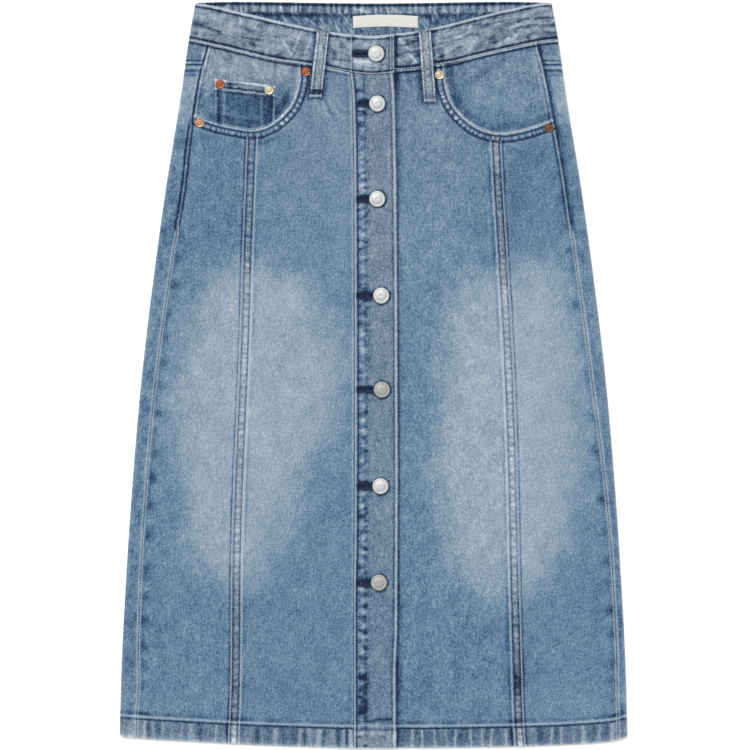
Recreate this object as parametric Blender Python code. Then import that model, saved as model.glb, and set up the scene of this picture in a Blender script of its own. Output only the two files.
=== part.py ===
"""Denim skirt, buttoned down the front, laid flat on its back.

The skirt lies in the XY plane, its waist towards +Y and its back on the ground. X runs across it,
Z is up, and the origin lies on the ground under the middle of its outline. Sizes are millimetres
and become metres when a mesh is made. A place on the skirt is x, its distance from the centre
line, and drop, its distance below the highest point of the waist.

The back panels, the yokes and the waistband run round both side folds. They are cut in a plane of
u and drop, where u is the way round the skirt from the centre back, and `wrapped` bends that plane
round the folds. Everything else is cut in the plane of x and drop. A wall is an outline in its
plane, filled with triangles and lifted to its two skins.
"""

import math

import bmesh
import bpy
from mathutils import Vector
from mathutils.geometry import delaunay_2d_cdt

MM = 0.001

# Cloth
LENGTH = 782.3  # highest point of the waist to the lowest of the hem
CLOTH = 1.0  # one layer of denim
DOUBLE_CLOTH = 2.0  # waistband, folded double
SEAM_GAP = 0.3  # between pieces that meet edge to edge
LAYER_GAP = 0.35  # between pieces that lie on each other
HEM_DEPTH = 20.5
HEM_BUILD = 0.9  # what the turned-up hem adds to a layer
HEM_STEP = 1.2  # width of the slope at the hem's edge
FELL_HALF_WIDTH = 4.9
FELL_RISE = 0.6  # what the felled lap adds to the front
FELL_SLOPE = 1.2

# Levels of the front's outer skin above the ground
REST_LEVEL = 2.9
STAND_LEVEL = 2.5  # button stand, under the placket
POCKET_LEVEL = 5.2
WAIST_LEVEL = 5.6
WAIST_STAND_LEVEL = 4.6  # right end of the waistband, under the left one
WAIST_FOLD_RADIUS = 2.9
WAIST_STEP = 0.6  # how far the panels lie below the waistband
HEM_LIFT = 1.0  # the front rides up over the back's hem
HEM_APPROACH = 28.0  # length of that rise
WAIST_APPROACH = 28.0  # length over which the panels rise to the waistband
SETTLE = 80.0  # distance over which the front settles from the fold to its rest level

# Placket and its buttons
PLACKET_CLOTH = 1.6
PLACKET_STEP = 0.5  # how far the left panel lies below the placket
STAND_EDGE = -16.0
WAIST_END = 21.8  # left end of the waistband, which laps over the right one
WAIST_STAND_END = -17.0
BUTTON_RADIUS = 8.6
BUTTON_HEIGHT = 3.0
POST_RADIUS = 0.9
SLOT_HALF_HEIGHT = 1.25
SLOT_START = -16.2
WAIST_SLOT_START = -20.5
SLOT_PAST_BUTTON = 1.4

# Pockets and trim
FACING_SUNK = 2.8  # facing's outer skin below the front panel's, at the pocket edge
FACING_RISE = (5.0, 32.0)  # distances inside the edge between which the facing comes level
FACING_INNER_EDGE = 62.0
FACING_GRID = (9.0, 9.0)
COIN_GAP = 0.45
LOOP_CLOTH = 1.6
LABEL_CLOTH = 0.8
RIVET_RADIUS = 4.9
RIVET_HEIGHT = 1.7

LEFT, RIGHT = -1, 1
NAMES = {LEFT: "left", RIGHT: "right"}

OUTLINE = (  # drop, half width
    (0, 186.5), (40, 193.7), (100, 202.4), (200, 218.5), (300, 232.2), (400, 243.9),
    (500, 252.6), (600, 259.4), (700, 264.5), (766, 266.3),
)
FOLD_HEIGHT = (  # drop, height of the side fold
    (42, 5.2), (170, 5.2), (320, 4.6), (740, 4.6), (782, 5.0),
)
HEM = (  # x, drop of the lower edge
    (-264, 770.9), (-224, 773.9), (-182, 776.2), (-130, 779.0), (-88, 780.6), (-25, 782.2),
    (49, 782.3), (133, 781.2), (175, 780.1), (217, 778.1), (248, 775.6), (264, 771.8),
)
SIDE_INSET = {  # drop, distance of the side seam in from the fold
    LEFT: ((42, 21.5), (100, 16.0), (140, 16.5), (200, 19.3), (260, 17.5), (370, 15.4),
           (430, 14.7), (560, 14.8), (670, 16.6), (715, 18.6), (750, 17.4)),
    RIGHT: ((42, 23.5), (78, 19.5), (120, 17.4), (190, 16.4), (240, 16.6), (280, 16.0),
            (400, 14.2), (450, 12.0), (500, 10.0), (590, 8.2), (670, 8.4), (730, 9.5)),
}
FELLED_SEAM = {  # drop, distance of the lap's centre line from the centre front
    LEFT: ((130, 126.8), (200, 129.7), (270, 132.3), (335, 134.0), (420, 137.3), (511, 141.3),
           (600, 143.7), (700, 144.3), (782, 147.0)),
    RIGHT: ((130, 127.6), (204, 131.4), (245, 134.0), (298, 137.1), (334, 139.2), (430, 143.6),
            (490, 145.6), (600, 147.9), (670, 149.8), (758, 152.5), (782, 154.3)),
}
WAIST_FRONT = {  # x, drop of the waistband's upper edge, drop of its lower edge
    LEFT: ((-194, 1.0, 40.4), (-186, 1.7, 41.8), (-172, 3.9, 45.0), (-158, 6.9, 48.0),
           (-145, 10.1, 51.2), (-132, 12.9, 54.4), (-119, 16.0, 57.5), (-106, 19.2, 60.5),
           (-93, 22.0, 62.8), (-80, 24.8, 64.5), (-60, 29.2, 67.2), (-40, 32.6, 70.8),
           (-23, 34.8, 74.2), (-1, 36.0, 76.4), (22, 34.0, 74.4)),
    RIGHT: ((-17, 35.6, 73.0), (23, 33.8, 71.4), (51, 30.2, 69.0), (66, 27.2, 66.4),
            (86, 22.4, 62.8), (99, 19.0, 59.3), (112, 15.8, 56.1), (125, 12.4, 53.0),
            (138, 9.4, 50.0), (151, 6.6, 47.2), (164, 3.8, 44.4), (178, 1.6, 41.9), (192, 1.0, 40.4)),
}
WAIST_BACK = (  # x, drop of the waistband's upper edge, drop of its lower edge
    (-187, 1.0, 42.0), (-145, 0.0, 41.2), (0, 1.7, 41.5), (145, 0.0, 40.8), (187, 1.0, 40.6),
)
YOKE_SEAM = ((0, 118), (100, 92), (193, 67), (200, 66))  # distance from the centre back, drop
YOKE_FRONT_DROP = 66.0  # drop of the yoke seam where it comes round to the front
PLACKET_EDGES = (  # drop, x of the seam on its left, x of its free edge on the right
    (70, -25.0, 20.3), (99, -22.0, 22.9), (150, -20.7, 24.0), (260, -20.0, 25.3),
    (386, -19.6, 26.0), (500, -19.8, 26.4), (660, -20.4, 25.6), (700, -20.3, 24.0),
    (790, -20.2, 24.5),
)
POCKET_EDGE = {  # x, drop, from the waistband to the side seam
    LEFT: ((-78.0, 60.0), (-78.0, 72.0), (-78.4, 84.0), (-84.5, 99.8), (-94.0, 115.0),
           (-105.5, 127.0), (-118.1, 133.4), (-130.7, 134.6), (-146.0, 132.2), (-163.3, 128.6),
           (-178.0, 123.6), (-194.0, 117.0)),
    RIGHT: ((73.0, 58.0), (74.0, 74.0), (76.1, 90.3), (82.4, 107.1), (92.9, 120.3),
            (105.5, 130.4), (119.2, 136.5), (136.0, 138.6), (152.8, 136.3), (169.6, 131.6),
            (187.4, 124.7), (196.0, 121.4)),
}
FACING_LOWER = ((62, 100), (72, 126), (92, 145), (118, 153), (150, 154), (200, 146))  # |x|, drop
COIN_POCKET = ((-166.6, 80.9), (-134.6, 84.4), (-102.6, 88.2), (-104.5, 138.0), (-165.5, 138.0))
BELT_LOOPS = {  # x, drop at the middle of each end, from the waist edge down
    LEFT: ((-53.3, 31.8), (-61.2, 101.0)),
    RIGHT: ((53.8, 31.0), (59.4, 106.0)),
}
LOOP_WIDTH = 13.0
LABEL = ((-21.5, 46.7), (15.2, 27.8), 1.6)  # x from and to, drop from and to, rise of its arch
BUTTONS = (  # name, x, drop
    ("button_waist", 2.9, 54.8), ("button_1", 3.9, 107.0), ("button_2", 3.9, 207.0),
    ("button_3", 8.1, 308.4), ("button_4", 8.8, 407.0), ("button_5", 7.4, 508.2),
    ("button_6", 5.7, 609.4),
)
RIVETS = (  # name, x, drop, look
    ("rivet_coin_outer", -160.7, 86.9, "copper"), ("rivet_coin_inner", -109.4, 93.0, "brass"),
    ("rivet_left_waist", -70.7, 73.5, "copper"), ("rivet_left_side", -182.4, 127.3, "copper"),
    ("rivet_right_waist", 69.2, 77.0, "brass"), ("rivet_right_side", 184.0, 132.6, "copper"),
)
LOOKS = {  # colour, roughness, metallic
    "denim": ((0.16, 0.25, 0.36, 1), 0.9, 0.0),
    "denim_dark": ((0.09, 0.16, 0.25, 1), 0.9, 0.0),
    "nickel": ((0.66, 0.68, 0.71, 1), 0.3, 1.0),
    "copper": ((0.45, 0.18, 0.10, 1), 0.35, 1.0),
    "brass": ((0.60, 0.50, 0.32, 1), 0.35, 1.0),
    "label": ((0.73, 0.72, 0.66, 1), 0.8, 0.0),
}


# Curves and blends

def curve(rows, column=1):
    """A smooth function through rows of places and values, level past its ends."""
    places = [row[0] for row in rows]
    values = [row[column] for row in rows]
    steps = [(values[i + 1] - values[i]) / (places[i + 1] - places[i])
             for i in range(len(rows) - 1)]
    slopes = [steps[0]]
    for before, after in zip(steps, steps[1:]):
        turns = before * after <= 0
        slopes.append(0.0 if turns else 2 * before * after / (before + after))
    slopes.append(steps[-1])

    def value(place):
        if place <= places[0]:
            return values[0]
        if place >= places[-1]:
            return values[-1]
        i = max(k for k in range(len(places) - 1) if places[k] <= place)
        span = places[i + 1] - places[i]
        t = (place - places[i]) / span
        return (values[i] * (1 + 2 * t) * (1 - t) ** 2 + values[i + 1] * t * t * (3 - 2 * t)
                + span * t * (1 - t) * (slopes[i] * (1 - t) - slopes[i + 1] * t))

    return value


def eased(value, start, end):
    """0 up to start, 1 from end, and a soft rise between them."""
    t = min(max((value - start) / (end - start), 0.0), 1.0)
    return t * t * (3 - 2 * t)


def mix(first, second, share):
    return first + (second - first) * share


def spread(start, end, step):
    """Evenly spaced numbers from start to end, at most step apart."""
    count = max(1, math.ceil(abs(end - start) / step))
    return [mix(start, end, i / count) for i in range(count + 1)]


def rounded(points, step):
    """Points along a smooth line through the given ones (a Catmull-Rom spline)."""
    ends = [points[0]] + list(points) + [points[-1]]
    line = []
    for a, b, c, d in zip(ends, ends[1:], ends[2:], ends[3:]):
        count = max(1, math.ceil(math.dist(b, c) / step))
        for i in range(count):
            t = i / count
            line.append(tuple(
                0.5 * (2 * q + (r - p) * t + (2 * p - 5 * q + 4 * r - s) * t * t
                       + (3 * q - p - 3 * r + s) * t ** 3)
                for p, q, r, s in zip(a, b, c, d)))
    line.append(tuple(points[-1]))
    return line


half_width = curve(OUTLINE)
fold_height = curve(FOLD_HEIGHT)
hem_drop = curve(HEM)
side_inset = {side: curve(rows) for side, rows in SIDE_INSET.items()}
felled_seam = {side: curve(rows) for side, rows in FELLED_SEAM.items()}
waist_front_top = {side: curve(rows, 1) for side, rows in WAIST_FRONT.items()}
waist_front_bottom = {side: curve(rows, 2) for side, rows in WAIST_FRONT.items()}
waist_back_top = curve(WAIST_BACK, 1)
waist_back_bottom = curve(WAIST_BACK, 2)
yoke_seam = curve(YOKE_SEAM)
placket_left = curve(PLACKET_EDGES, 1)
placket_right = curve(PLACKET_EDGES, 2)
facing_lower = curve(FACING_LOWER)
pocket_edge = {side: rounded(points, 6.0) for side, points in POCKET_EDGE.items()}


def side_seam(side, drop):
    return side * (half_width(drop) - side_inset[side](drop))


def lap_edge(side, drop):
    """Outer edge of the felled lap, where the centre panel ends."""
    return side * (felled_seam[side](drop) + FELL_HALF_WIDTH)


def pocket_drop(side, x):
    """Drop of the pocket edge at x, on its run from the waistband to the side seam."""
    for (x0, drop0), (x1, drop1) in zip(pocket_edge[side], pocket_edge[side][1:]):
        if side * x0 <= side * x <= side * x1 and x0 != x1:
            return mix(drop0, drop1, (x - x0) / (x1 - x0))
    return pocket_edge[side][0][1]


def inside_pocket(side, x, drop):
    """Distance from the pocket edge, positive where the pocket is open."""
    near = min(math.dist((x, drop), point) for point in pocket_edge[side])
    is_open = side * x > side * pocket_edge[side][0][0] and drop < pocket_drop(side, x)
    return near if is_open else -near


# The lie of the cloth: heights of outer skins above the ground

def hem_turn(x, drop):
    """0 on the panel, 1 on its turned-up hem."""
    edge = hem_drop(x) - HEM_DEPTH
    return min(max((drop - edge) / HEM_STEP, 0.0), 1.0)


def panel_cloth(x, drop):
    return CLOTH + HEM_BUILD * hem_turn(x, drop)


def hem_rise(x, drop):
    edge = hem_drop(x) - HEM_DEPTH
    return HEM_LIFT * eased(drop, edge - HEM_APPROACH, edge) + (HEM_BUILD - 0.2) * hem_turn(x, drop)


def waist_level(side, x, drop):
    """Outer skin of the waistband's front."""
    fold = eased(half_width(drop) - abs(x), WAIST_FOLD_RADIUS, 30)
    level = mix(2 * WAIST_FOLD_RADIUS, WAIST_LEVEL, fold)
    if side == RIGHT:
        return mix(WAIST_STAND_LEVEL, level, eased(x, 26, 60))
    lapped = WAIST_STAND_LEVEL + LAYER_GAP + DOUBLE_CLOTH
    return mix(level, lapped, eased(x, -62, -24))


def body_level(side, x, drop):
    """Outer skin of a panel, away from the waistband and the placket."""
    inset = half_width(drop) - abs(x)
    rest = REST_LEVEL + hem_rise(x, drop)
    level = mix(fold_height(drop), rest, eased(inset, fold_height(drop) / 2, SETTLE))
    over_pocket = eased(side * x, 44, 60) * (1 - eased(drop, 158, 205))
    return mix(level, POCKET_LEVEL, over_pocket)


def under_waist(side, x, drop, level):
    """The given level, brought up to the waistband along its seam."""
    below = drop - waist_front_bottom[side](x)
    return mix(waist_level(side, x, drop) - WAIST_STEP, level, eased(below, 0, WAIST_APPROACH))


def right_level(x, drop):
    """Outer skin of the right front, which runs on under the placket as the button stand."""
    stand = STAND_LEVEL + hem_rise(x, drop)
    level = mix(stand, body_level(RIGHT, x, drop), eased(x, 27, 60))
    return under_waist(RIGHT, x, drop, level)


def placket_under(x, drop):
    return right_level(x, drop) + LAYER_GAP


def placket_level(x, drop):
    return placket_under(x, drop) + PLACKET_CLOTH + (HEM_BUILD - 0.3) * hem_turn(x, drop)


def left_level(x, drop):
    """Outer skin of the left front, which rises to the placket."""
    level = under_waist(LEFT, x, drop, body_level(LEFT, x, drop))
    edge = placket_left(drop)
    beside = placket_level(edge, drop) - PLACKET_STEP
    return mix(beside, level, eased(edge - x, 0, 34))


def front_level(side, x, drop):
    return left_level(x, drop) if side == LEFT else right_level(x, drop)


def lap_rise(side, x, drop):
    """The felled lap's rise over the centre panel, along its outer edge."""
    start = felled_seam[side](drop) - FELL_HALF_WIDTH
    return FELL_RISE * min(max((side * x - start) / FELL_SLOPE, 0.0), 1.0)


def facing_level(side, x, drop):
    rise = eased(inside_pocket(side, x, drop), *FACING_RISE)
    return front_level(side, x, drop) - FACING_SUNK * (1 - rise)


def coin_level(x, drop):
    return facing_level(LEFT, x, drop) + COIN_GAP + CLOTH


def loop_level(side, drop):
    """The highest that the waistband, or the panel below it, comes across a belt loop's width."""
    (x0, drop0), (x1, drop1) = BELT_LOOPS[side]
    middle = mix(x0, x1, (drop - drop0) / (drop1 - drop0))
    levels = []
    for x in spread(middle - LOOP_WIDTH / 2, middle + LOOP_WIDTH / 2, 3.0):
        below = drop - waist_front_bottom[side](x)
        levels.append(mix(waist_level(side, x, drop), front_level(side, x, drop),
                          eased(below, 1.5, 12)))
    return max(levels)


# The plane of u and drop, and its bend round the side folds

def panel_radius(drop):
    return fold_height(drop) / 2


def waist_radius(drop):
    return WAIST_FOLD_RADIUS


def flat_half(drop, radius):
    """Half width of the flat bottom layer."""
    return half_width(drop) - radius(drop)


def way_round(side, x, drop, radius):
    """u of a place on the front layer."""
    flat = flat_half(drop, radius)
    return side * (2 * flat + math.pi * radius(drop) - side * x)


def front_x(u, drop, radius):
    """x of a place given by u: behind, on the fold or in front."""
    side = RIGHT if u >= 0 else LEFT
    flat = flat_half(drop, radius)
    past = abs(u) - flat
    bend = math.pi * radius(drop)
    if past <= 0:
        return u
    if past <= bend:
        return side * (flat + radius(drop) * math.sin(math.pi * past / bend))
    return side * (flat - (past - bend))


def wrapped(radius, level, depth):
    """The skin that lies depth inside the outer one, as a function of u and drop."""
    def skin(u, drop):
        side = RIGHT if u >= 0 else LEFT
        flat = flat_half(drop, radius)
        past = abs(u) - flat
        bend = math.pi * radius(drop)
        x = front_x(u, drop, radius)
        inward = depth(x, drop)
        if past <= 0:
            return x, drop, inward
        if past <= bend:
            angle = past / radius(drop) - math.pi / 2
            reach = radius(drop) - inward
            return side * (flat + reach * math.cos(angle)), drop, radius(drop) + reach * math.sin(angle)
        return x, drop, level(side, x, drop) - inward

    return skin


# Walls

def crosses(point, ring):
    """Whether the point lies inside the ring."""
    x, y = point
    inside = False
    for (x0, y0), (x1, y1) in zip(ring, ring[1:] + ring[:1]):
        if (y0 > y) != (y1 > y) and x < mix(x0, x1, (y - y0) / (y1 - y0)):
            inside = not inside
    return inside


def distance_to(point, line):
    px, py = point
    best = math.inf
    for (x0, y0), (x1, y1) in zip(line, line[1:]):
        dx, dy = x1 - x0, y1 - y0
        length = dx * dx + dy * dy
        t = 0 if length == 0 else min(max(((px - x0) * dx + (py - y0) * dy) / length, 0), 1)
        best = min(best, math.hypot(px - x0 - t * dx, py - y0 - t * dy))
    return best


def turned_left(ring):
    """The ring, run so that its inside lies on its left with the waist up."""
    area = sum(x0 * y1 - x1 * y0 for (x0, y0), (x1, y1) in zip(ring, ring[1:] + ring[:1]))
    return ring[::-1] if area > 0 else ring


def filled(outline, creases, holes, grid):
    """Points and triangles of an outline, with edges along its creases and its holes left out."""
    rings = [turned_left(list(ring)) for ring in (outline, *holes)]
    lines = [list(line) for line in creases] + [ring + ring[:1] for ring in rings]
    points = [point for ring in rings for point in ring]
    edges = []
    for line in creases:
        first = len(points)
        points.extend(line)
        edges.extend((first + i, first + i + 1) for i in range(len(line) - 1))
    faces = []
    start = 0
    for ring in rings:
        faces.append(list(range(start, start + len(ring))))
        start += len(ring)
    lows = [min(point[axis] for point in outline) for axis in (0, 1)]
    highs = [max(point[axis] for point in outline) for axis in (0, 1)]
    margin = 0.42 * min(grid)
    for row, drop in enumerate(spread(lows[1], highs[1], grid[1])[1:-1]):
        for across in spread(lows[0], highs[0], grid[0]):
            spot = (across + (row % 2 - 0.5) * grid[0] / 2, drop)
            if crosses(spot, rings[0]) and all(distance_to(spot, line) > margin for line in lines):
                points.append(spot)
    flat = [Vector((u, -drop)) for u, drop in points]
    out = delaunay_2d_cdt(flat, edges, faces, 0, 1e-5, True)
    triangles = [face for face, source in zip(out[2], out[5])
                 if 0 in source and all(hole not in source for hole in range(1, len(rings)))]
    used = sorted({corner for face in triangles for corner in face})
    number = {corner: i for i, corner in enumerate(used)}
    places = [(out[0][corner].x, -out[0][corner].y) for corner in used]
    return places, [[number[corner] for corner in face] for face in triangles]


def material_for(name, look):
    colour, roughness, metallic = LOOKS[look]
    material = bpy.data.materials.new(name)
    material.use_nodes = True
    shader = material.node_tree.nodes["Principled BSDF"]
    shader.inputs["Base Color"].default_value = colour
    shader.inputs["Roughness"].default_value = roughness
    shader.inputs["Metallic"].default_value = metallic
    return material


def add_part(name, mesh, look):
    part = bpy.data.objects.new(name, mesh)
    mesh.materials.append(material_for(name, look))
    bpy.context.scene.collection.objects.link(part)
    return part


def add_wall(name, outline, upper, lower, look="denim", creases=(), holes=(), grid=(26.0, 44.0)):
    """A closed wall between two skins, each a function of the outline's plane."""
    places, triangles = filled(outline, creases, holes, grid)
    count = len(places)
    corners = [upper(*place) for place in places] + [lower(*place) for place in places]
    faces = list(triangles)
    faces += [[corner + count for corner in reversed(face)] for face in triangles]
    sides = {(face[i - 1], face[i]) for face in triangles for i in range(3)}
    faces += [(a + count, b + count, b, a) for a, b in sides if (b, a) not in sides]
    mesh = bpy.data.meshes.new(name)
    mesh.from_pydata(
        [(x * MM, (LENGTH / 2 - drop) * MM, z * MM) for x, drop, z in corners], [], faces)
    mesh.validate()
    mesh.shade_smooth()
    mesh.set_sharp_from_angle(angle=math.radians(50))
    return add_part(name, mesh, look)


def on_level(level, lift=0.0):
    """A skin at a level's height plus lift."""
    return lambda x, drop: (x, drop, level(x, drop) + lift)


def below_level(level, depth):
    """A skin that lies a depth under a level."""
    return lambda x, drop: (x, drop, level(x, drop) - depth(x, drop))


# Edges that panels share, each a list of places down or across the skirt

STATIONS = list(range(48, 216, 12)) + list(range(216, 780, 36))


def stations(start, end):
    """Drops from start to end, at the same places on every seam, close together over the hips."""
    low, high = sorted((start, end))
    line = [low] + [drop for drop in STATIONS if low + 4 < drop < high - 4] + [high]
    return line if start < end else line[::-1]


def down(edge, start, end):
    """Places down an edge whose x is a function of drop."""
    return [(edge(drop), drop) for drop in stations(start, end)]


def across(edge, start, end, step=18.0, shift=0.0):
    """Places across an edge whose drop is a function of x."""
    return [(x, edge(x) + shift) for x in spread(start, end, step)]


def hem_creases(start, end):
    """Lines across a front piece, where it begins to rise to its hem and down the hem's slope."""
    reach = 4.0 if end > start else -4.0
    return [across(hem_drop, start - reach, end + reach, 30.0, shift - HEM_DEPTH)
            for shift in (-HEM_APPROACH, -HEM_APPROACH / 2, 0, HEM_STEP)]


def waist_creases(start, end):
    """Lines across a front piece, where it comes down from the waistband."""
    return [across(waist_front_bottom[RIGHT], start, end, 20.0, WAIST_APPROACH * share)
            for share in (0.25, 0.5, 0.75, 1.0)]


def pocket_between(side, start, end):
    """The pocket edge between two places across, ends included."""
    inner = [point for point in pocket_edge[side] if side * start < side * point[0] < side * end]
    return [(start, pocket_drop(side, start))] + inner + [(end, pocket_drop(side, end))]


# Pieces

def make_front_centre(side):
    """From the placket to the felled seam, whose lap lies on this panel's edge."""
    if side == LEFT:
        def inner_edge(drop):
            return placket_left(drop) - SEAM_GAP
    else:
        def inner_edge(drop):
            return STAND_EDGE
    top_x = pocket_edge[side][1][0]
    waist = waist_front_bottom[side]
    start = inner_edge(waist(inner_edge(75)))
    waist_line = across(waist, start, top_x, 14.0, SEAM_GAP)
    pocket_start = waist(top_x) + SEAM_GAP
    lap_top = pocket_drop(side, lap_edge(side, 134))
    pocket_line = [point for point in pocket_edge[side]
                   if point[1] > pocket_start + 3 and side * point[0] < abs(lap_edge(side, 134)) - 1]
    hem_end = lap_edge(side, 782)
    seam_line = down(lambda drop: lap_edge(side, drop), lap_top, hem_drop(hem_end))
    hem_line = across(hem_drop, hem_end, inner_edge(782))[1:]
    front_line = down(inner_edge, hem_line[-1][1], waist_line[0][1])[1:-1]
    outline = waist_line + pocket_line + seam_line + hem_line + front_line

    def outer(x, drop):
        return x, drop, front_level(side, x, drop) + lap_rise(side, x, drop)

    def lap_line(inset):
        return [(side * (felled_seam[side](drop) - FELL_HALF_WIDTH + inset), drop)
                for drop in stations(130, 790)]

    creases = hem_creases(inner_edge(782), hem_end) + [lap_line(0), lap_line(FELL_SLOPE)]
    creases += waist_creases(-30, -66) if side == LEFT else waist_creases(-30, 62)
    add_wall(f"front_centre_{NAMES[side]}", outline, outer,
             below_level(lambda x, drop: front_level(side, x, drop), panel_cloth),
             creases=creases)


def make_front_side(side):
    """From the felled seam to the side seam, under the pocket edge."""
    def inner_edge(drop):
        return lap_edge(side, drop) + side * SEAM_GAP

    def outer_edge(drop):
        return side_seam(side, drop) - side * SEAM_GAP

    start, end = inner_edge(134), outer_edge(121)
    pocket_line = pocket_between(side, start, end)
    seam_line = down(outer_edge, pocket_line[-1][1], hem_drop(outer_edge(772)))[1:]
    hem_line = across(hem_drop, seam_line[-1][0], inner_edge(780))[1:]
    lap_line = down(inner_edge, hem_line[-1][1], pocket_line[0][1])[1:-1]
    outline = pocket_line + seam_line + hem_line + lap_line

    def level(x, drop):
        return front_level(side, x, drop)

    add_wall(f"front_side_{NAMES[side]}", outline, on_level(level),
             below_level(level, panel_cloth),
             creases=hem_creases(inner_edge(780), seam_line[-1][0]))


def make_placket():
    """The buttonhole band, laid over the button stand, with a slot for each button's post."""
    top = waist_front_bottom[LEFT]
    start, end = placket_left(72), placket_right(72)
    outline = across(top, start, end, 12.0, SEAM_GAP)
    outline += down(placket_right, outline[-1][1], hem_drop(20))[1:]
    outline += across(hem_drop, placket_right(782), placket_left(782), 12.0)[1:]
    outline += down(placket_left, outline[-1][1], outline[0][1])[1:-1]
    holes = []
    for x, drop in [place[1:] for place in BUTTONS[1:]]:
        holes.append([(SLOT_START, drop - SLOT_HALF_HEIGHT / 2),
                      (SLOT_START + 1, drop - SLOT_HALF_HEIGHT),
                      (x + SLOT_PAST_BUTTON, drop - SLOT_HALF_HEIGHT),
                      (x + SLOT_PAST_BUTTON, drop + SLOT_HALF_HEIGHT),
                      (SLOT_START + 1, drop + SLOT_HALF_HEIGHT),
                      (SLOT_START, drop + SLOT_HALF_HEIGHT / 2)])
    add_wall("placket", outline, on_level(placket_level), on_level(placket_under),
             creases=hem_creases(-20, 24) + waist_creases(-30, 30), holes=holes,
             grid=(22.0, 40.0))


FOLD_PARTS = 4


def bend_creases(radius, first, last, step, sides=(LEFT, RIGHT)):
    """Lines down each fold, close enough to round it."""
    return [[(side * (flat_half(drop, radius) + math.pi * radius(drop) * part / FOLD_PARTS), drop)
             for drop in spread(first, last, step)]
            for side in sides for part in range(FOLD_PARTS + 1)]


def round_the_fold(side, behind, before, end, radius, start=0.0):
    """Places on an edge that runs from x = start behind, round the fold, to x = end in front.

    behind and before give the edge's drop as functions of x.
    """
    fold_drop = behind(side * half_width(0))
    flat = flat_half(fold_drop, radius)
    line = [(x, behind(x)) for x in spread(start, side * flat, 32.0)[:-1]]
    for part in range(FOLD_PARTS + 1):
        x = side * (flat + radius(fold_drop) * math.sin(math.pi * part / FOLD_PARTS))
        drop = mix(behind(x), before(x), part / FOLD_PARTS)
        turn = math.pi * radius(drop) * part / FOLD_PARTS
        line.append((side * (flat_half(drop, radius) + turn), drop))
    for x in spread(side * flat, end, 14.0)[1:]:
        line.append((way_round(side, x, before(x), radius), before(x)))
    return line


def hem_round(lifted):
    """Drop of the hem's edge by x, rounded off at the folds and lifted in the middle."""
    corner = 4.0

    def drop_at(x):
        past = min(max(abs(x) - (half_width(772) - corner), 0.0) / corner, 1.0)
        middle = lifted * eased(half_width(772) - abs(x), 0, 60)
        return hem_drop(x) - middle - 3.4 * (1 - math.sqrt(1 - past * past))

    return drop_at


def make_back(side):
    """From the centre back round the fold to the side seam, below the yoke."""
    centre = side * SEAM_GAP / 2

    def top(x):
        return yoke_seam(abs(x)) + SEAM_GAP

    def front_top(x):
        return YOKE_FRONT_DROP + SEAM_GAP

    def seam_x(drop):
        return side_seam(side, drop)

    top_line = round_the_fold(side, top, front_top, seam_x(YOKE_FRONT_DROP), panel_radius, centre)
    hem_line = round_the_fold(side, hem_round(1.2), hem_round(0.0), seam_x(772), panel_radius, centre)
    seam_line = [(way_round(side, seam_x(drop), drop, panel_radius), drop)
                 for drop in stations(top_line[-1][1], hem_line[-1][1])][1:-1]
    outline = top_line + seam_line + hem_line[::-1]

    def hem_crease(inset):
        def edge(x):
            return hem_drop(x) - HEM_DEPTH + inset
        return round_the_fold(side, edge, edge, seam_x(760) - side * 4, panel_radius, -centre)

    creases = bend_creases(panel_radius, 60, 780, 36.0, (side,))
    creases += [hem_crease(0), hem_crease(HEM_STEP)]
    add_wall(f"back_{NAMES[side]}", outline,
             wrapped(panel_radius, front_level, panel_cloth),
             wrapped(panel_radius, front_level, lambda x, drop: 0.0),
             creases=creases, grid=(70.0, 90.0))


def make_yoke(side):
    """From the centre back round the fold to the side seam, between waistband and back panel."""
    centre = side * SEAM_GAP / 2

    def behind(x):
        return waist_back_bottom(x) + SEAM_GAP

    def before(x):
        return waist_front_bottom[side](x) + SEAM_GAP

    def foot(x):
        return yoke_seam(abs(x))

    def front_foot(x):
        return YOKE_FRONT_DROP

    front_end = side_seam(side, YOKE_FRONT_DROP)
    top_line = round_the_fold(side, behind, before, side_seam(side, 46), panel_radius, centre)
    foot_line = round_the_fold(side, foot, front_foot, front_end, panel_radius, centre)
    seam_line = [(way_round(side, side_seam(side, drop), drop, panel_radius), drop)
                 for drop in stations(top_line[-1][1], foot_line[-1][1])][1:-1]
    add_wall(f"yoke_{NAMES[side]}", top_line + seam_line + foot_line[::-1],
             wrapped(panel_radius, front_level, lambda x, drop: CLOTH),
             wrapped(panel_radius, front_level, lambda x, drop: 0.0),
             creases=bend_creases(panel_radius, 36, 74, 13.0, (side,)), grid=(60.0, 40.0))


def make_waistband():
    """One folded strip round the waist, its left end lapped over its right one."""
    ends = {LEFT: WAIST_END, RIGHT: WAIST_STAND_END}

    def half(side, behind, before):
        return round_the_fold(side, behind, before[side], ends[side], waist_radius)

    top = [half(side, waist_back_top, waist_front_top) for side in (LEFT, RIGHT)]
    foot = [half(side, waist_back_bottom, waist_front_bottom) for side in (LEFT, RIGHT)]
    outline = top[0][::-1] + top[1][1:] + foot[1][::-1] + foot[0][1:]
    x, drop = BUTTONS[0][1:]
    slot = []
    for place, height in ((WAIST_SLOT_START, -1), (x + SLOT_PAST_BUTTON, -1),
                          (x + SLOT_PAST_BUTTON, 1), (WAIST_SLOT_START, 1)):
        level = drop + height * SLOT_HALF_HEIGHT
        slot.append((way_round(LEFT, place, level, waist_radius), level))
    add_wall("waistband", outline,
             wrapped(waist_radius, waist_level, lambda x, drop: DOUBLE_CLOTH),
             wrapped(waist_radius, waist_level, lambda x, drop: 0.0),
             creases=bend_creases(waist_radius, -4, 48, 13.0), holes=[slot], grid=(16.0, 13.0))


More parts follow.
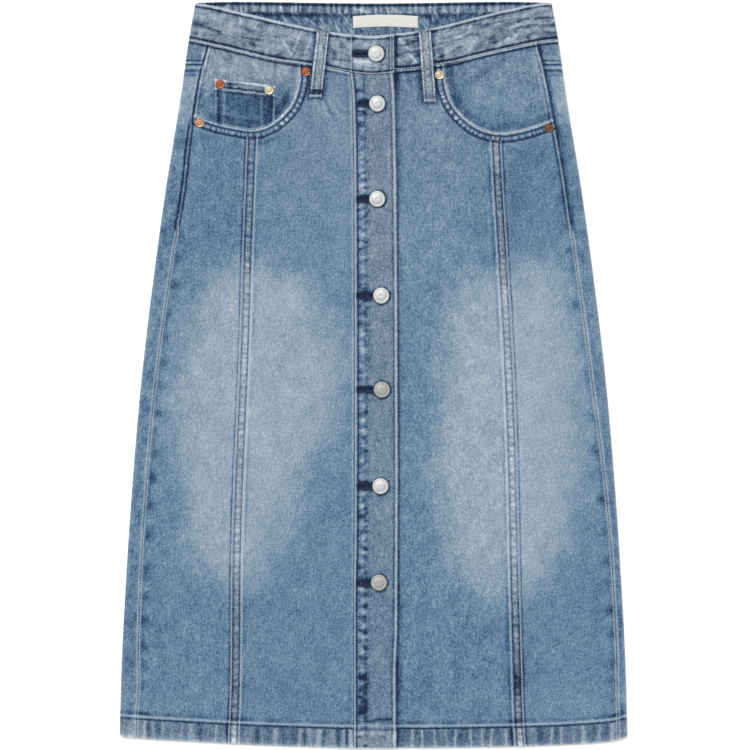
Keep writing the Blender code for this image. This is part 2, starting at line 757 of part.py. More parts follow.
def make_pocket_facing(side):
    """Denim inside the scoop pocket, under the front panels and level with the side seam."""
    def outer_edge(drop):
        return side_seam(side, drop) - side * SEAM_GAP

    waist = waist_front_bottom[side]
    waist_line = across(waist, side * FACING_INNER_EDGE, outer_edge(47), 10.0, SEAM_GAP)
    low_end = outer_edge(148)
    lower_line = [(side * x, facing_lower(x)) for x in spread(abs(low_end), FACING_INNER_EDGE, 8.0)]
    seam_line = down(outer_edge, waist_line[-1][1], lower_line[0][1])[1:-1]
    inner_line = [(side * FACING_INNER_EDGE, drop)
                  for drop in spread(lower_line[-1][1], waist_line[0][1], 10.0)][1:-1]

    def level(x, drop):
        return facing_level(side, x, drop)

    add_wall(f"pocket_facing_{NAMES[side]}", waist_line + seam_line + lower_line + inner_line,
             on_level(level), on_level(level, -CLOTH), "denim_dark", grid=FACING_GRID)


def make_coin_pocket():
    """Small pocket on the left facing, its mouth sloped, its foot under the front panels."""
    outline = []
    for (x0, drop0), (x1, drop1) in zip(COIN_POCKET, COIN_POCKET[1:] + COIN_POCKET[:1]):
        count = math.ceil(math.dist((x0, drop0), (x1, drop1)) / 9.0)
        outline += [(mix(x0, x1, i / count), mix(drop0, drop1, i / count)) for i in range(count)]
    add_wall("coin_pocket", outline, on_level(coin_level), on_level(coin_level, -CLOTH),
             "denim_dark", grid=FACING_GRID)


def make_belt_loop(side):
    """A strip down over the waistband, its lower end turned under on the panel."""
    (x0, drop0), (x1, drop1) = BELT_LOOPS[side]
    half = LOOP_WIDTH / 2
    steps = [i / 8 for i in range(9)]
    left_line = [(mix(x0, x1, t) - half, mix(drop0, drop1, t)) for t in steps]
    right_line = [(mix(x0, x1, t) + half, mix(drop0, drop1, t)) for t in steps]

    def under(x, drop):
        return loop_level(side, drop) + LAYER_GAP

    add_wall(f"belt_loop_{NAMES[side]}", left_line[::-1] + right_line, on_level(under, LOOP_CLOTH),
             on_level(under), grid=(20.0, 20.0))


def make_label():
    """A bare woven label on the inside of the back waistband."""
    (x0, x1), (drop0, drop1), rise = LABEL
    middle, half = (x0 + x1) / 2, (x1 - x0) / 2

    def arch(x):
        return rise * (1 - ((x - middle) / half) ** 2)

    upper = [(x, drop0 - arch(x)) for x in spread(x0, x1, 12.0)]
    lower = [(x, drop1 - arch(x)) for x in spread(x1, x0, 12.0)]
    base = DOUBLE_CLOTH + LAYER_GAP
    add_wall("waist_label", upper + lower, lambda x, drop: (x, drop, base + LABEL_CLOTH),
             lambda x, drop: (x, drop, base), "label", grid=(40.0, 40.0))


def turned(name, profile, x, drop, height, look, segments):
    """A round piece: a profile of radius and height, spun about its own axis."""
    shape = bmesh.new()
    corners = [shape.verts.new((radius * MM, 0, z * MM)) for radius, z in profile]
    edges = [shape.edges.new(pair) for pair in zip(corners, corners[1:])]
    bmesh.ops.spin(shape, geom=corners + edges, cent=(0, 0, 0), axis=(0, 0, 1),
                   angle=math.tau, steps=segments, use_merge=True)
    bmesh.ops.remove_doubles(shape, verts=shape.verts, dist=1e-6)
    bmesh.ops.recalc_face_normals(shape, faces=shape.faces)
    mesh = bpy.data.meshes.new(name)
    shape.to_mesh(mesh)
    shape.free()
    mesh.shade_smooth()
    mesh.set_sharp_from_angle(angle=math.radians(40))
    part = add_part(name, mesh, look)
    part.location = (x * MM, (LENGTH / 2 - drop) * MM, height * MM)


def make_button(name, x, drop):
    """A shank button: its post goes through the slot to the stand, its cap lies on the band."""
    if name == "button_waist":
        cloth = max(waist_level(LEFT, x + dx, drop) for dx in (-BUTTON_RADIUS, 0, BUTTON_RADIUS))
        stand = waist_level(RIGHT, x, drop)
    else:
        places = [(x + dx, drop + dy) for dx in (-BUTTON_RADIUS, 0, BUTTON_RADIUS)
                  for dy in (-BUTTON_RADIUS, 0, BUTTON_RADIUS)]
        cloth = max(placket_level(*place) for place in places)
        stand = max(right_level(x, drop + dy) for dy in (-1, 0, 1))
    base = LAYER_GAP
    foot = stand + LAYER_GAP - cloth
    profile = (
        (0.0, foot), (POST_RADIUS, foot), (POST_RADIUS, base), (BUTTON_RADIUS - 0.6, base),
        (BUTTON_RADIUS, base + 0.7), (BUTTON_RADIUS - 0.3, base + 1.5),
        (BUTTON_RADIUS - 1.5, base + 2.1), (BUTTON_RADIUS - 2.4, base + 1.8),
        (BUTTON_RADIUS - 4.6, base + 2.4), (0.0, base + BUTTON_HEIGHT - 0.35),
    )
    turned(name, profile, x, drop, cloth, "nickel", 16)


def make_rivet(name, x, drop, look):
    """A flat-headed rivet with a raised middle."""
    around = [(x + RIVET_RADIUS * math.cos(turn), drop + RIVET_RADIUS * math.sin(turn))
              for turn in (math.tau * i / 8 for i in range(8))]
    if name.startswith("rivet_coin"):
        cloth = max(coin_level(*place) for place in around)
    else:
        side = LEFT if x < 0 else RIGHT
        cloth = max(front_level(side, *place) for place in around)
    base = LAYER_GAP
    profile = (
        (0.0, base), (RIVET_RADIUS - 0.3, base), (RIVET_RADIUS, base + 0.4),
        (RIVET_RADIUS - 0.8, base + 0.9), (2.2, base + 0.9), (1.7, base + RIVET_HEIGHT - 0.4),
        (0.0, base + RIVET_HEIGHT - 0.35),
    )
    turned(name, profile, x, drop, cloth, look, 14)


def main():
    for item in list(bpy.data.objects):
        bpy.data.objects.remove(item, do_unlink=True)
    for side in (LEFT, RIGHT):
        make_back(side)
        make_yoke(side)
        make_front_centre(side)
        make_front_side(side)
        make_pocket_facing(side)
        make_belt_loop(side)
    make_waistband()
    make_placket()
    make_coin_pocket()
    make_label()
    for name, x, drop in BUTTONS:
        make_button(name, x, drop)
    for name, x, drop, look in RIVETS:
        make_rivet(name, x, drop, look)


main()
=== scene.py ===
"""Denim skirt, buttoned down the front, laid flat on its back: cloth, stitching, metal and light.

Sizes are millimetres, as in the part, and become metres when a mesh is made. A place on the skirt
is x, its distance from the centre line, and drop, its distance below the highest point of the
waist. Pieces that run round the side folds are cut in a plane of u and drop, where u is the way
round the skirt from the centre back. Tables and levels are those of the part's solids.
"""

import math
from functools import partial
from itertools import count

import bmesh
import bpy
import numpy as np
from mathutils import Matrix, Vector, kdtree
from mathutils.geometry import delaunay_2d_cdt


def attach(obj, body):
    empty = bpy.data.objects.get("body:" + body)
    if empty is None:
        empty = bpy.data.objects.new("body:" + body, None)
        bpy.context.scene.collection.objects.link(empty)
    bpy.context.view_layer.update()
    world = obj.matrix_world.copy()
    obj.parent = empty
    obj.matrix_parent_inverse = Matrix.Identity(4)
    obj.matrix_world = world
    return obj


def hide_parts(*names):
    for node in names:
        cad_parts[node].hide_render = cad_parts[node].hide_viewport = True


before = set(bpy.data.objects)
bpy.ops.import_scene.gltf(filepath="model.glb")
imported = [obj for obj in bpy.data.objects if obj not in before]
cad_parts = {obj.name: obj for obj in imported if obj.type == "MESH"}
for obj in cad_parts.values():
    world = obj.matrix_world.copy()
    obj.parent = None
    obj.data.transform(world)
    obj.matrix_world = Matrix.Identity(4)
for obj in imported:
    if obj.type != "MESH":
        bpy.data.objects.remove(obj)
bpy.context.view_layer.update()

MM = 0.001

# Cloth, as in the part
LENGTH = 782.3
CLOTH = 1.0
DOUBLE_CLOTH = 2.0
SEAM_GAP = 0.3
LAYER_GAP = 0.35
HEM_DEPTH = 20.5
HEM_BUILD = 0.9
HEM_STEP = 1.2
FELL_HALF_WIDTH = 4.9
FELL_RISE = 0.6
FELL_SLOPE = 1.2
LAP_TOP = 134.0  # drop at which the felled lap leaves the pocket's edge
SIDE_FOOT = 772.0  # drop of the hem at the side folds
FOOT = 782.0  # and near the centre front

# Levels of the front's outer skin above the ground
REST_LEVEL = 2.9
STAND_LEVEL = 2.5
POCKET_LEVEL = 5.2
WAIST_LEVEL = 5.6
WAIST_STAND_LEVEL = 4.6
WAIST_FOLD_RADIUS = 2.9
WAIST_STEP = 0.6
HEM_LIFT = 1.0
HEM_APPROACH = 28.0
WAIST_APPROACH = 28.0
SETTLE = 80.0
HEM_PRESSED = 0.2  # how much less than its build the hem rises
PLACKET_PRESSED = 0.3  # and the same on the placket

# Where one level gives way to another
STAND_SPREAD = (27.0, 60.0)  # x, button stand to right front
WAIST_STAND_SPREAD = (26.0, 60.0)  # x, the same on the waistband
WAIST_LAP_SPREAD = (-62.0, -24.0)  # x, left front to the waistband's lapped end
WAIST_FOLD_SPREAD = 30.0  # in from the waistband's folds
PLACKET_SPREAD = 34.0  # out from the placket, on its left
POCKET_SPREAD = (44.0, 60.0)  # distance from the centre, up to the pockets' level
POCKET_SETTLE = (158.0, 205.0)  # drop, and down from it again
LOOP_SETTLE = (1.5, 12.0)  # below the waistband's edge, under the belt loops

# Placket and its buttons
PLACKET_CLOTH = 1.6
PLACKET_STEP = 0.5
PLACKET_TOP = 72.0
STAND_EDGE = -16.0
WAIST_END = 21.8
WAIST_STAND_END = -17.0
BUTTON_RADIUS = 8.6
POST_RADIUS = 0.9
SLOT_HALF_HEIGHT = 1.25
SLOT_START = -16.2
WAIST_SLOT_START = -20.5
SLOT_PAST_BUTTON = 1.4

# Pockets and trim
FACING_SUNK = 2.8
FACING_RISE = (5.0, 32.0)
FACING_INNER_EDGE = 62.0
COIN_GAP = 0.45
LOOP_CLOTH = 1.6
LABEL_CLOTH = 0.8
RIVET_RADIUS = 4.9
LOOP_WIDTH = 13.0
YOKE_FRONT_DROP = 66.0
FACING_CORNERS = (47.0, 148.0)  # drops at which the facings meet the side seam
POCKET_END = 121.0  # drop at which the pockets' edges meet it

# Sewing
LAP_SEWN = 110.0  # drop above which no felled seam shows
HIP_TACK = 240.0  # drop of the bartack where the side seams' heavy rows end
YOKE_TACK = 73.0  # drop of the one below the yoke
FELLED_STITCHES = (-5.5, 4.8)  # distances of the rows from their seam
SIDE_STITCHES = (-1.5, 1.5)
POCKET_STITCHES = ((2.9, 0.7), (8.7, 0.95))  # distance, share of the swing

# Meshes
EDGE_STEP = 1.8  # between points along an edge or a row beside it
FINE_STEP = 2.7  # between points of a skin that shows
HIDDEN_STEP = 16.0  # between points of a skin that doesn't
HEM_FINE_STEP = 1.0  # between points of the rows beside the hem and the pocket edge
NET_ROWS = 0.866  # share of its step between a net's rows
ROWS_APART = 0.55  # squares of this size keep one point of a seam's rows
SEAM_CELL = 2.4  # squares of this size that hold a seam's rows get no net
EDGE_ROLL = 0.35  # how far a cut edge is rounded down
PATCH_SHIFT = 37.0  # keeps each piece's grain apart from the next one's
MOST_POINTS = 10 ** 7  # more than any skin has

LEFT, RIGHT = -1, 1
NAMES = {LEFT: "left", RIGHT: "right"}

OUTLINE = (  # drop, half width
    (0, 186.5), (40, 193.7), (100, 202.4), (200, 218.5), (300, 232.2), (400, 243.9),
    (500, 252.6), (600, 259.4), (700, 264.5), (766, 266.3),
)
FOLD_HEIGHT = (  # drop, height of the side fold
    (42, 5.2), (170, 5.2), (320, 4.6), (740, 4.6), (782, 5.0),
)
HEM = (  # x, drop of the lower edge
    (-264, 770.9), (-224, 773.9), (-182, 776.2), (-130, 779.0), (-88, 780.6), (-25, 782.2),
    (49, 782.3), (133, 781.2), (175, 780.1), (217, 778.1), (248, 775.6), (264, 771.8),
)
SIDE_INSET = {  # drop, distance of the side seam in from the fold
    LEFT: ((42, 21.5), (100, 16.0), (140, 16.5), (200, 19.3), (260, 17.5), (370, 15.4),
           (430, 14.7), (560, 14.8), (670, 16.6), (715, 18.6), (750, 17.4)),
    RIGHT: ((42, 23.5), (78, 19.5), (120, 17.4), (190, 16.4), (240, 16.6), (280, 16.0),
            (400, 14.2), (450, 12.0), (500, 10.0), (590, 8.2), (670, 8.4), (730, 9.5)),
}
FELLED_SEAM = {  # drop, distance of the lap's centre line from the centre front
    LEFT: ((130, 126.8), (200, 129.7), (270, 132.3), (335, 134.0), (420, 137.3), (511, 141.3),
           (600, 143.7), (700, 144.3), (782, 147.0)),
    RIGHT: ((130, 127.6), (204, 131.4), (245, 134.0), (298, 137.1), (334, 139.2), (430, 143.6),
            (490, 145.6), (600, 147.9), (670, 149.8), (758, 152.5), (782, 154.3)),
}
WAIST_FRONT = {  # x, drop of the waistband's upper edge, drop of its lower edge
    LEFT: ((-194, 1.0, 40.4), (-186, 1.7, 41.8), (-172, 3.9, 45.0), (-158, 6.9, 48.0),
           (-145, 10.1, 51.2), (-132, 12.9, 54.4), (-119, 16.0, 57.5), (-106, 19.2, 60.5),
           (-93, 22.0, 62.8), (-80, 24.8, 64.5), (-60, 29.2, 67.2), (-40, 32.6, 70.8),
           (-23, 34.8, 74.2), (-1, 36.0, 76.4), (22, 34.0, 74.4)),
    RIGHT: ((-17, 35.6, 73.0), (23, 33.8, 71.4), (51, 30.2, 69.0), (66, 27.2, 66.4),
            (86, 22.4, 62.8), (99, 19.0, 59.3), (112, 15.8, 56.1), (125, 12.4, 53.0),
            (138, 9.4, 50.0), (151, 6.6, 47.2), (164, 3.8, 44.4), (178, 1.6, 41.9), (192, 1.0, 40.4)),
}
WAIST_BACK = (  # x, drop of the waistband's upper edge, drop of its lower edge
    (-187, 1.0, 42.0), (-145, 0.0, 41.2), (0, 1.7, 41.5), (145, 0.0, 40.8), (187, 1.0, 40.6),
)
YOKE_SEAM = ((0, 118), (100, 92), (193, 67), (200, 66))  # distance from the centre back, drop
PLACKET_EDGES = (  # drop, x of the seam on its left, x of its free edge on the right
    (70, -25.0, 20.3), (99, -22.0, 22.9), (150, -20.7, 24.0), (260, -20.0, 25.3),
    (386, -19.6, 26.0), (500, -19.8, 26.4), (660, -20.4, 25.6), (700, -20.3, 24.0),
    (790, -20.2, 24.5),
)
POCKET_EDGE = {  # x, drop, from the waistband to the side seam
    LEFT: ((-78.0, 60.0), (-78.0, 72.0), (-78.4, 84.0), (-84.5, 99.8), (-94.0, 115.0),
           (-105.5, 127.0), (-118.1, 133.4), (-130.7, 134.6), (-146.0, 132.2), (-163.3, 128.6),
           (-178.0, 123.6), (-194.0, 117.0)),
    RIGHT: ((73.0, 58.0), (74.0, 74.0), (76.1, 90.3), (82.4, 107.1), (92.9, 120.3),
            (105.5, 130.4), (119.2, 136.5), (136.0, 138.6), (152.8, 136.3), (169.6, 131.6),
            (187.4, 124.7), (196.0, 121.4)),
}
FACING_LOWER = ((62, 100), (72, 126), (92, 145), (118, 153), (150, 154), (200, 146))  # |x|, drop
COIN_POCKET = ((-166.6, 80.9), (-134.6, 84.4), (-102.6, 88.2), (-104.5, 138.0), (-165.5, 138.0))
BELT_LOOPS = {  # x, drop at the middle of each end, from the waist edge down
    LEFT: ((-53.3, 31.8), (-61.2, 101.0)),
    RIGHT: ((53.8, 31.0), (59.4, 106.0)),
}
LABEL = ((-21.5, 46.7), (15.2, 27.8), 1.6)  # x from and to, drop from and to, rise of its arch
BUTTONS = (  # name, x, drop
    ("button_waist", 2.9, 54.8), ("button_1", 3.9, 107.0), ("button_2", 3.9, 207.0),
    ("button_3", 8.1, 308.4), ("button_4", 8.8, 407.0), ("button_5", 7.4, 508.2),
    ("button_6", 5.7, 609.4),
)
RIVETS = (  # name, x, drop, look
    ("rivet_coin_outer", -160.7, 86.9, "copper"), ("rivet_coin_inner", -109.4, 93.0, "brass"),
    ("rivet_left_waist", -70.7, 73.5, "copper"), ("rivet_left_side", -182.4, 127.3, "pale copper"),
    ("rivet_right_waist", 69.2, 77.0, "brass"), ("rivet_right_side", 184.0, 132.6, "dark copper"),
)

# Soft troughs and ridges of the front: way of the fold's line, half width, height, wash. The wash is paler
# on ridges and darker in troughs, partly whisker fading and partly painted highlight and shade
CREASES = (
    (((-56, 292), (-77, 334), (-107, 397), (-119, 449)), 7.0, -0.55, -0.035),
    (((-67, 103), (-60, 128), (-56, 155)), 4.0, 0.4, 0.04),
    (((-56, 100), (-51, 112), (-45, 126)), 1.8, 0.2, 0.17),
    (((-50, 98), (-43, 110), (-34, 122)), 1.8, 0.2, 0.16),
    (((-53, 99), (-47, 112), (-40, 124)), 1.6, -0.2, -0.14),
    (((-44, 97), (-37, 106), (-29, 114)), 1.6, 0.15, 0.13),
    (((-65, 92), (-61, 106), (-54, 118)), 1.5, 0.15, 0.14),
    (((-185, 139), (-183, 147), (-181, 156)), 1.5, 0.15, 0.15),
    (((-179, 144), (-176, 150), (-171, 157)), 1.5, 0.15, 0.14),
    (((-182, 141), (-179, 149), (-176, 157)), 1.5, -0.15, -0.10),
    (((-119.5, 141), (-119, 147), (-118, 154)), 1.7, -0.15, -0.26),
    (((-117, 150), (-112, 148), (-105, 143)), 1.5, -0.1, -0.20),
    (((-115, 144), (-109, 141), (-103, 136)), 1.3, 0.1, 0.16),
    (((138, 148), (147, 150), (158, 156)), 1.7, 0.2, 0.16),
    (((140, 152), (149, 156), (160, 163)), 2.4, -0.2, -0.10),
    (((175, 150), (149, 208), (138, 257)), 6.0, -0.5, -0.06),
    (((182, 290), (172, 380), (152, 505)), 15.0, 0.0, 0.045),
    (((-122, 420), (-116, 470), (-108, 525)), 14.0, 0.0, 0.045),
    (((60, 385), (95, 400), (132, 390)), 8.0, 0.4, 0.02),
    (((54, 500), (95, 520), (133, 512)), 8.0, -0.4, -0.02),
    (((101, 292), (82, 330), (65, 366)), 9.0, 0.5, 0.02),
    (((-180, 330), (-160, 410), (-150, 500)), 11.0, -0.4, -0.01),
    (((-216, 430), (-188, 520), (-180, 610)), 10.0, 0.5, 0.01),
    (((200, 300), (178, 380), (170, 470)), 10.0, -0.4, -0.01),
    (((-40, 560), (-70, 630), (-84, 700)), 10.0, 0.45, 0.01),
    (((90, 600), (100, 660), (94, 720)), 9.0, -0.4, -0.01),
)
# Marks on the waistband: from and to, half width, wash
BAND_MARKS = (
    ((-175, 27.5), (-160, 32), 1.3, -0.34), ((-138, 36.8), (-121, 40.6), 1.4, -0.32),
    ((-170, 20.2), (-158, 24.8), 1.4, -0.14), ((-129, 27.4), (-117, 33.3), 1.4, -0.12),
    ((-187, 22), (-176, 24), 3.4, -0.20), ((-178.4, 8.4), (-179, 17.6), 1.0, 0.12),
    ((-182.4, 28), (-181.6, 37.5), 1.1, 0.24), ((-139.6, 16.5), (-139.6, 23), 0.9, 0.24),
    ((-140, 29), (-139.5, 36), 0.9, 0.18), ((-76, 32), (-85.5, 55), 1.2, 0.26),
    ((-95, 41), (-86, 55), 1.2, 0.24), ((-65.6, 40), (-71.4, 53), 1.3, 0.14),
    ((-76, 43), (-75, 54), 3.6, -0.16), ((-98, 55), (-96, 60), 2.2, -0.22),
    ((-43, 51), (-40, 57), 2.4, -0.20), ((-36, 41), (-33, 46), 2.6, -0.16),
    ((-44, 40), (-42, 48), 1.4, 0.12), ((-36, 54), (-37, 64), 1.1, 0.16),
    ((-22, 43), (-12, 40), 2.2, 0.16), ((-20, 61), (-8, 64), 3.0, 0.12),
    ((24.5, 40), (25, 58), 1.6, -0.24), ((27.5, 39), (36, 48.5), 1.3, 0.22),
    ((36, 54), (45.5, 64), 1.2, 0.24), ((30, 60), (40, 66), 2.6, -0.16),
    ((40, 38), (44, 50), 2.4, -0.14), ((68, 50), (72, 58), 3.2, -0.26),
    ((94.7, 37.2), (109, 32), 1.4, -0.30), ((110.5, 37.3), (118.4, 36.6), 1.4, -0.24),
    ((82, 44), (92, 43), 1.2, -0.16), ((143, 23.6), (161.5, 18.4), 1.4, -0.32),
    ((161.7, 24.9), (171, 24.3), 1.3, -0.26), ((151, 38.6), (164, 36), 2.2, -0.18),
    ((143.3, 29.4), (149.7, 37.3), 1.0, 0.20), ((102, 25), (120, 20), 2.2, 0.10),
    ((182, 12), (186, 26), 3.0, -0.14), ((136, 36), (137, 42), 2.4, -0.16),
    ((84, 52), (84.5, 57), 1.5, -0.2), ((89, 50), (90, 56), 1.6, 0.14),
    ((112, 42), (113, 48), 2.0, -0.16), ((119, 41), (120, 46), 1.8, 0.12),
)
# Marks on the inside of the back waistband
INSIDE_MARKS = (
    ((-130, 11), (-60, 14), 2.4, -0.14), ((-106, 4), (-105, 12.5), 1.0, 0.20),
    ((-97, 5), (-95, 14), 1.1, 0.26), ((-86, 6), (-85, 13), 1.1, 0.22),
    ((-94, 15.5), (-91, 21), 1.0, 0.26), ((-84, 15.5), (-76, 24), 1.0, 0.22),
    ((-72, 17), (-56, 27), 1.1, 0.24), ((-46, 12), (-40, 22), 1.2, 0.22),
    ((-32, 14), (-24, 24), 1.1, 0.20), ((-20, 7), (-8, 10), 1.2, 0.20),
    ((-8, 10), (-5, 16), 1.2, 0.22), ((-26, 4), (-22, 12), 2.6, -0.14),
    ((14, 4), (16, 14), 1.4, 0.16), ((18, 5), (28, 12), 1.2, 0.14),
    ((36, 15), (48, 27), 1.1, 0.20), ((60, 5), (70, 20), 1.2, 0.18),
    ((76, 10), (85, 22), 1.0, 0.24), ((88, 6), (89, 14), 1.1, 0.16), ((-150, 6), (-146, 9), 2.5, -0.14),
)
# Puckers of the hem, pale on top and dark between: x, half width, wash
HEM_PUCKERS = {
    LEFT: ((-240, 1.5, 0.22), (-236, 2.0, -0.14), (-231, 2.0, 0.14), (-227, 3.0, -0.08),
           (-221, 2.0, 0.16), (-212, 2.5, 0.09), (-201, 2.5, 0.14), (-192, 2.6, 0.18),
           (-182, 2.2, -0.13), (-165, 1.5, 0.19), (-154, 1.3, -0.22), (-122, 3.0, -0.18),
           (-117, 1.5, 0.12), (-110, 4.0, -0.09), (-103, 3.0, 0.21), (-94, 2.5, -0.10),
           (-83, 5.0, -0.09), (-77, 2.2, 0.23), (-72, 1.3, -0.18), (-67, 3.0, 0.18),
           (-57, 3.4, 0.23), (-52, 1.8, -0.14), (-42, 2.6, 0.11), (-37, 2.4, -0.19),
           (-31, 2.2, 0.18), (-28, 1.3, -0.30), (-24, 2.2, 0.24)),
    RIGHT: ((41, 1.3, 0.28), (51, 1.4, 0.31), (64, 1.5, 0.24), (72, 3.5, 0.08), (76.5, 1.6, 0.22),
            (86, 1.5, 0.28), (102, 1.4, 0.28), (114, 2.0, 0.18), (124, 1.4, 0.25),
            (139, 1.8, 0.25), (145, 2.0, -0.22), (166, 2.4, 0.12), (170, 1.5, 0.15),
            (175, 2.6, -0.08), (187, 1.4, 0.24), (191, 2.0, -0.08), (197, 1.5, 0.22),
            (210, 3.0, 0.12), (220, 2.6, 0.24), (231, 2.4, -0.06), (237, 3.0, 0.18),
            (245, 2.3, -0.14), (251, 3.0, 0.22)),
}
# Dark puckers pulled in beside the side seams: drop, wash
SEAM_PUCKERS = {
    LEFT: ((271, 0.15), (298, 0.19), (326, 0.17), (354, 0.13), (379, 0.19), (404, 0.19), (432, 0.20),
           (450, 0.12), (473, 0.20), (500, 0.24), (529, 0.19), (560, 0.22), (594, 0.22), (603, 0.10),
           (624, 0.23), (649, 0.31), (678, 0.25), (697, 0.20), (717, 0.15)),
    RIGHT: ((263, 0.15), (282, 0.12), (318, 0.25), (362, 0.14), (392, 0.12), (435, 0.17),
            (473, 0.20), (495, 0.11), (523, 0.29), (555, 0.17), (587, 0.23), (610, 0.22),
            (638, 0.24), (664, 0.20), (695, 0.15), (713, 0.18), (732, 0.15)),
}
# Outline of each thigh's pale patch: drop, x from and to
FADES = (
    ((274, -124, -118), (290, -166, -78), (325, -190, -49), (370, -197, -39), (418, -208, -39),
     (460, -203, -51), (523, -202, -80), (565, -199, -98), (590, -191, -110), (606, -178, -126),
     (615, -162, -140)),
    ((274, 154, 162), (290, 101, 197), (325, 79, 210), (376, 67, 223), (430, 69, 227),
     (495, 61, 218), (560, 75, 206), (596, 86, 188), (616, 101, 174), (626, 118, 160)),
)
# Soft darker and paler places: x, drop, half width, half height, wash
BLOTS = (
    (154, 700, 16, 32, -0.06), (153, 712, 9, 15, -0.07), (-233, 560, 22, 65, -0.045),
    (-36, 528, 15, 26, -0.06), (-38, 265, 15, 28, 0.045), (208, 255, 11, 15, 0.05),
    (-203, 268, 11, 16, -0.05), (59, 129, 26, 20, 0.055), (217, 208, 7, 12, -0.10),
    (199, 207, 6, 13, -0.08), (-132, 208, 12, 14, 0.03), (128, 190, 8, 15, -0.04),
    (-208, 186, 7, 9, 0.04), (-113, 143, 15, 5, -0.10), (112, 140, 14, 6, -0.10),
    (203, 132, 8, 4, -0.10), (205, 147, 8, 4, 0.07), (207, 163, 8, 4, -0.08),
    (210, 178, 8, 5, 0.06), (198, 108, 6, 5, 0.08), (200, 120, 7, 3, -0.06),
    (-222, 330, 9, 20, -0.04), (-232, 420, 8, 24, -0.04), (-184, 555, 20, 42, -0.055),
    (115, 147, 13, 5, -0.10), (232, 395, 9, 26, -0.03), (242, 500, 8, 26, -0.03),
    (134, 188, 11, 15, -0.05), (141, 596, 14, 14, -0.05), (141, 712, 8, 14, -0.06),
    (204, 565, 12, 24, 0.055), (154, 512, 10, 16, 0.05), (147, 271, 11, 10, -0.045),
    (229, 346, 6, 34, 0.05),
)


def curve(rows, column=1):
    """A smooth function through rows of places and values, level past its ends."""
    places = np.array([row[0] for row in rows], float)
    values = np.array([row[column] for row in rows], float)
    steps = np.diff(values) / np.diff(places)
    product, total = steps[:-1] * steps[1:], steps[:-1] + steps[1:]
    slopes = np.zeros(len(places))
    slopes[0], slopes[-1] = steps[0], steps[-1]
    slopes[1:-1] = np.divide(2 * product, total, out=np.zeros(len(total)), where=product > 0)

    def value(place):
        place = np.clip(place, places[0], places[-1])
        i = np.clip(np.searchsorted(places, place, side="right") - 1, 0, len(places) - 2)
        span = places[i + 1] - places[i]
        t = (place - places[i]) / span
        return (values[i] * (1 + 2 * t) * (1 - t) ** 2 + values[i + 1] * t * t * (3 - 2 * t)
                + span * t * (1 - t) * (slopes[i] * (1 - t) - slopes[i + 1] * t))

    return value


def eased(value, start, end):
    """0 up to start, 1 from end, and a soft rise between them."""
    t = np.clip((value - start) / (end - start), 0.0, 1.0)
    return t * t * (3 - 2 * t)


def mix(first, second, share):
    return first + (second - first) * share


def evenly(points, step=EDGE_STEP):
    """A line of points, spaced evenly."""
    points = np.asarray(points, float)
    way = np.concatenate([[0], np.cumsum(np.hypot(*np.diff(points, axis=0).T))])
    places = np.linspace(0, way[-1], max(2, math.ceil(way[-1] / step) + 1))
    return np.stack([np.interp(places, way, points[:, k]) for k in (0, 1)], axis=1)


def rounded(points, step=1.5):
    """Points along a smooth line through the given ones (a Catmull-Rom spline)."""
    ends = [points[0]] + list(points) + [points[-1]]
    line = []
    for a, b, c, d in zip(ends, ends[1:], ends[2:], ends[3:]):
        a, b, c, d = (np.array(point, float) for point in (a, b, c, d))
        for t in np.linspace(0, 1, max(2, math.ceil(math.dist(b, c) / step)), endpoint=False):
            line.append(0.5 * (2 * b + (c - a) * t + (2 * a - 5 * b + 4 * c - d) * t * t
                               + (3 * b - a - 3 * c + d) * t ** 3))
    line.append(np.array(points[-1], float))
    return np.array(line)


def beside(line, x, drop):
    """Distance from a line of points, and the way along it to the nearest place."""
    gap, along, start = np.full(np.shape(x), np.inf), np.zeros(np.shape(x)), 0.0
    for (x0, drop0), (x1, drop1) in zip(line, line[1:]):
        dx, dd = x1 - x0, drop1 - drop0
        length = math.hypot(dx, dd)
        t = np.clip(((x - x0) * dx + (drop - drop0) * dd) / length ** 2, 0, 1)
        here = np.hypot(x - x0 - t * dx, drop - drop0 - t * dd)
        along = np.where(here < gap, start + t * length, along)
        gap = np.minimum(gap, here)
        start += length
    return gap, along


def noise(a, b, seed):
    """Smooth random numbers from -1 to 1 over a plane, one blob to a unit, the same for a seed."""
    table = np.random.default_rng(seed).uniform(-1, 1, (64, 64))
    a, b = np.broadcast_arrays(np.asarray(a, float), np.asarray(b, float))
    i, j = np.floor(a).astype(int), np.floor(b).astype(int)
    u, v = eased(a - i, 0, 1), eased(b - j, 0, 1)
    return mix(mix(table[i % 64, j % 64], table[(i + 1) % 64, j % 64], u),
               mix(table[i % 64, (j + 1) % 64], table[(i + 1) % 64, (j + 1) % 64], u), v)


def stripe(across, at, half):
    """1 on a line, falling softly to 0 beside it."""
    return np.exp(-((across - at) / half) ** 2)


def between(value, low, high, soft=1.0):
    """1 between two values, with soft ends."""
    return eased(value, low - soft, low) * (1 - eased(value, high, high + soft))


def lines(gap, *rows):
    """Soft lines beside an edge, added up, each by its distance, half width and strength."""
    return sum(amount * stripe(gap, at, half) for at, half, amount in rows)


def spot(x, drop, at_x, at_drop, wide, high):
    """1 at a place, falling softly to 0 round it."""
    return np.exp(-((x - at_x) / wide) ** 2 - ((drop - at_drop) / high) ** 2)


def clouds(x, drop, *rows):
    """Noise of several sizes, added up, each by its strength, width, height and seed."""
    return sum(amount * noise(x / wide, drop / high, seed) for amount, wide, high, seed in rows)


def fading(gap, reach):
    """1 up to an edge, dying away beyond it."""
    return np.exp(-np.maximum(gap, 0) / reach)


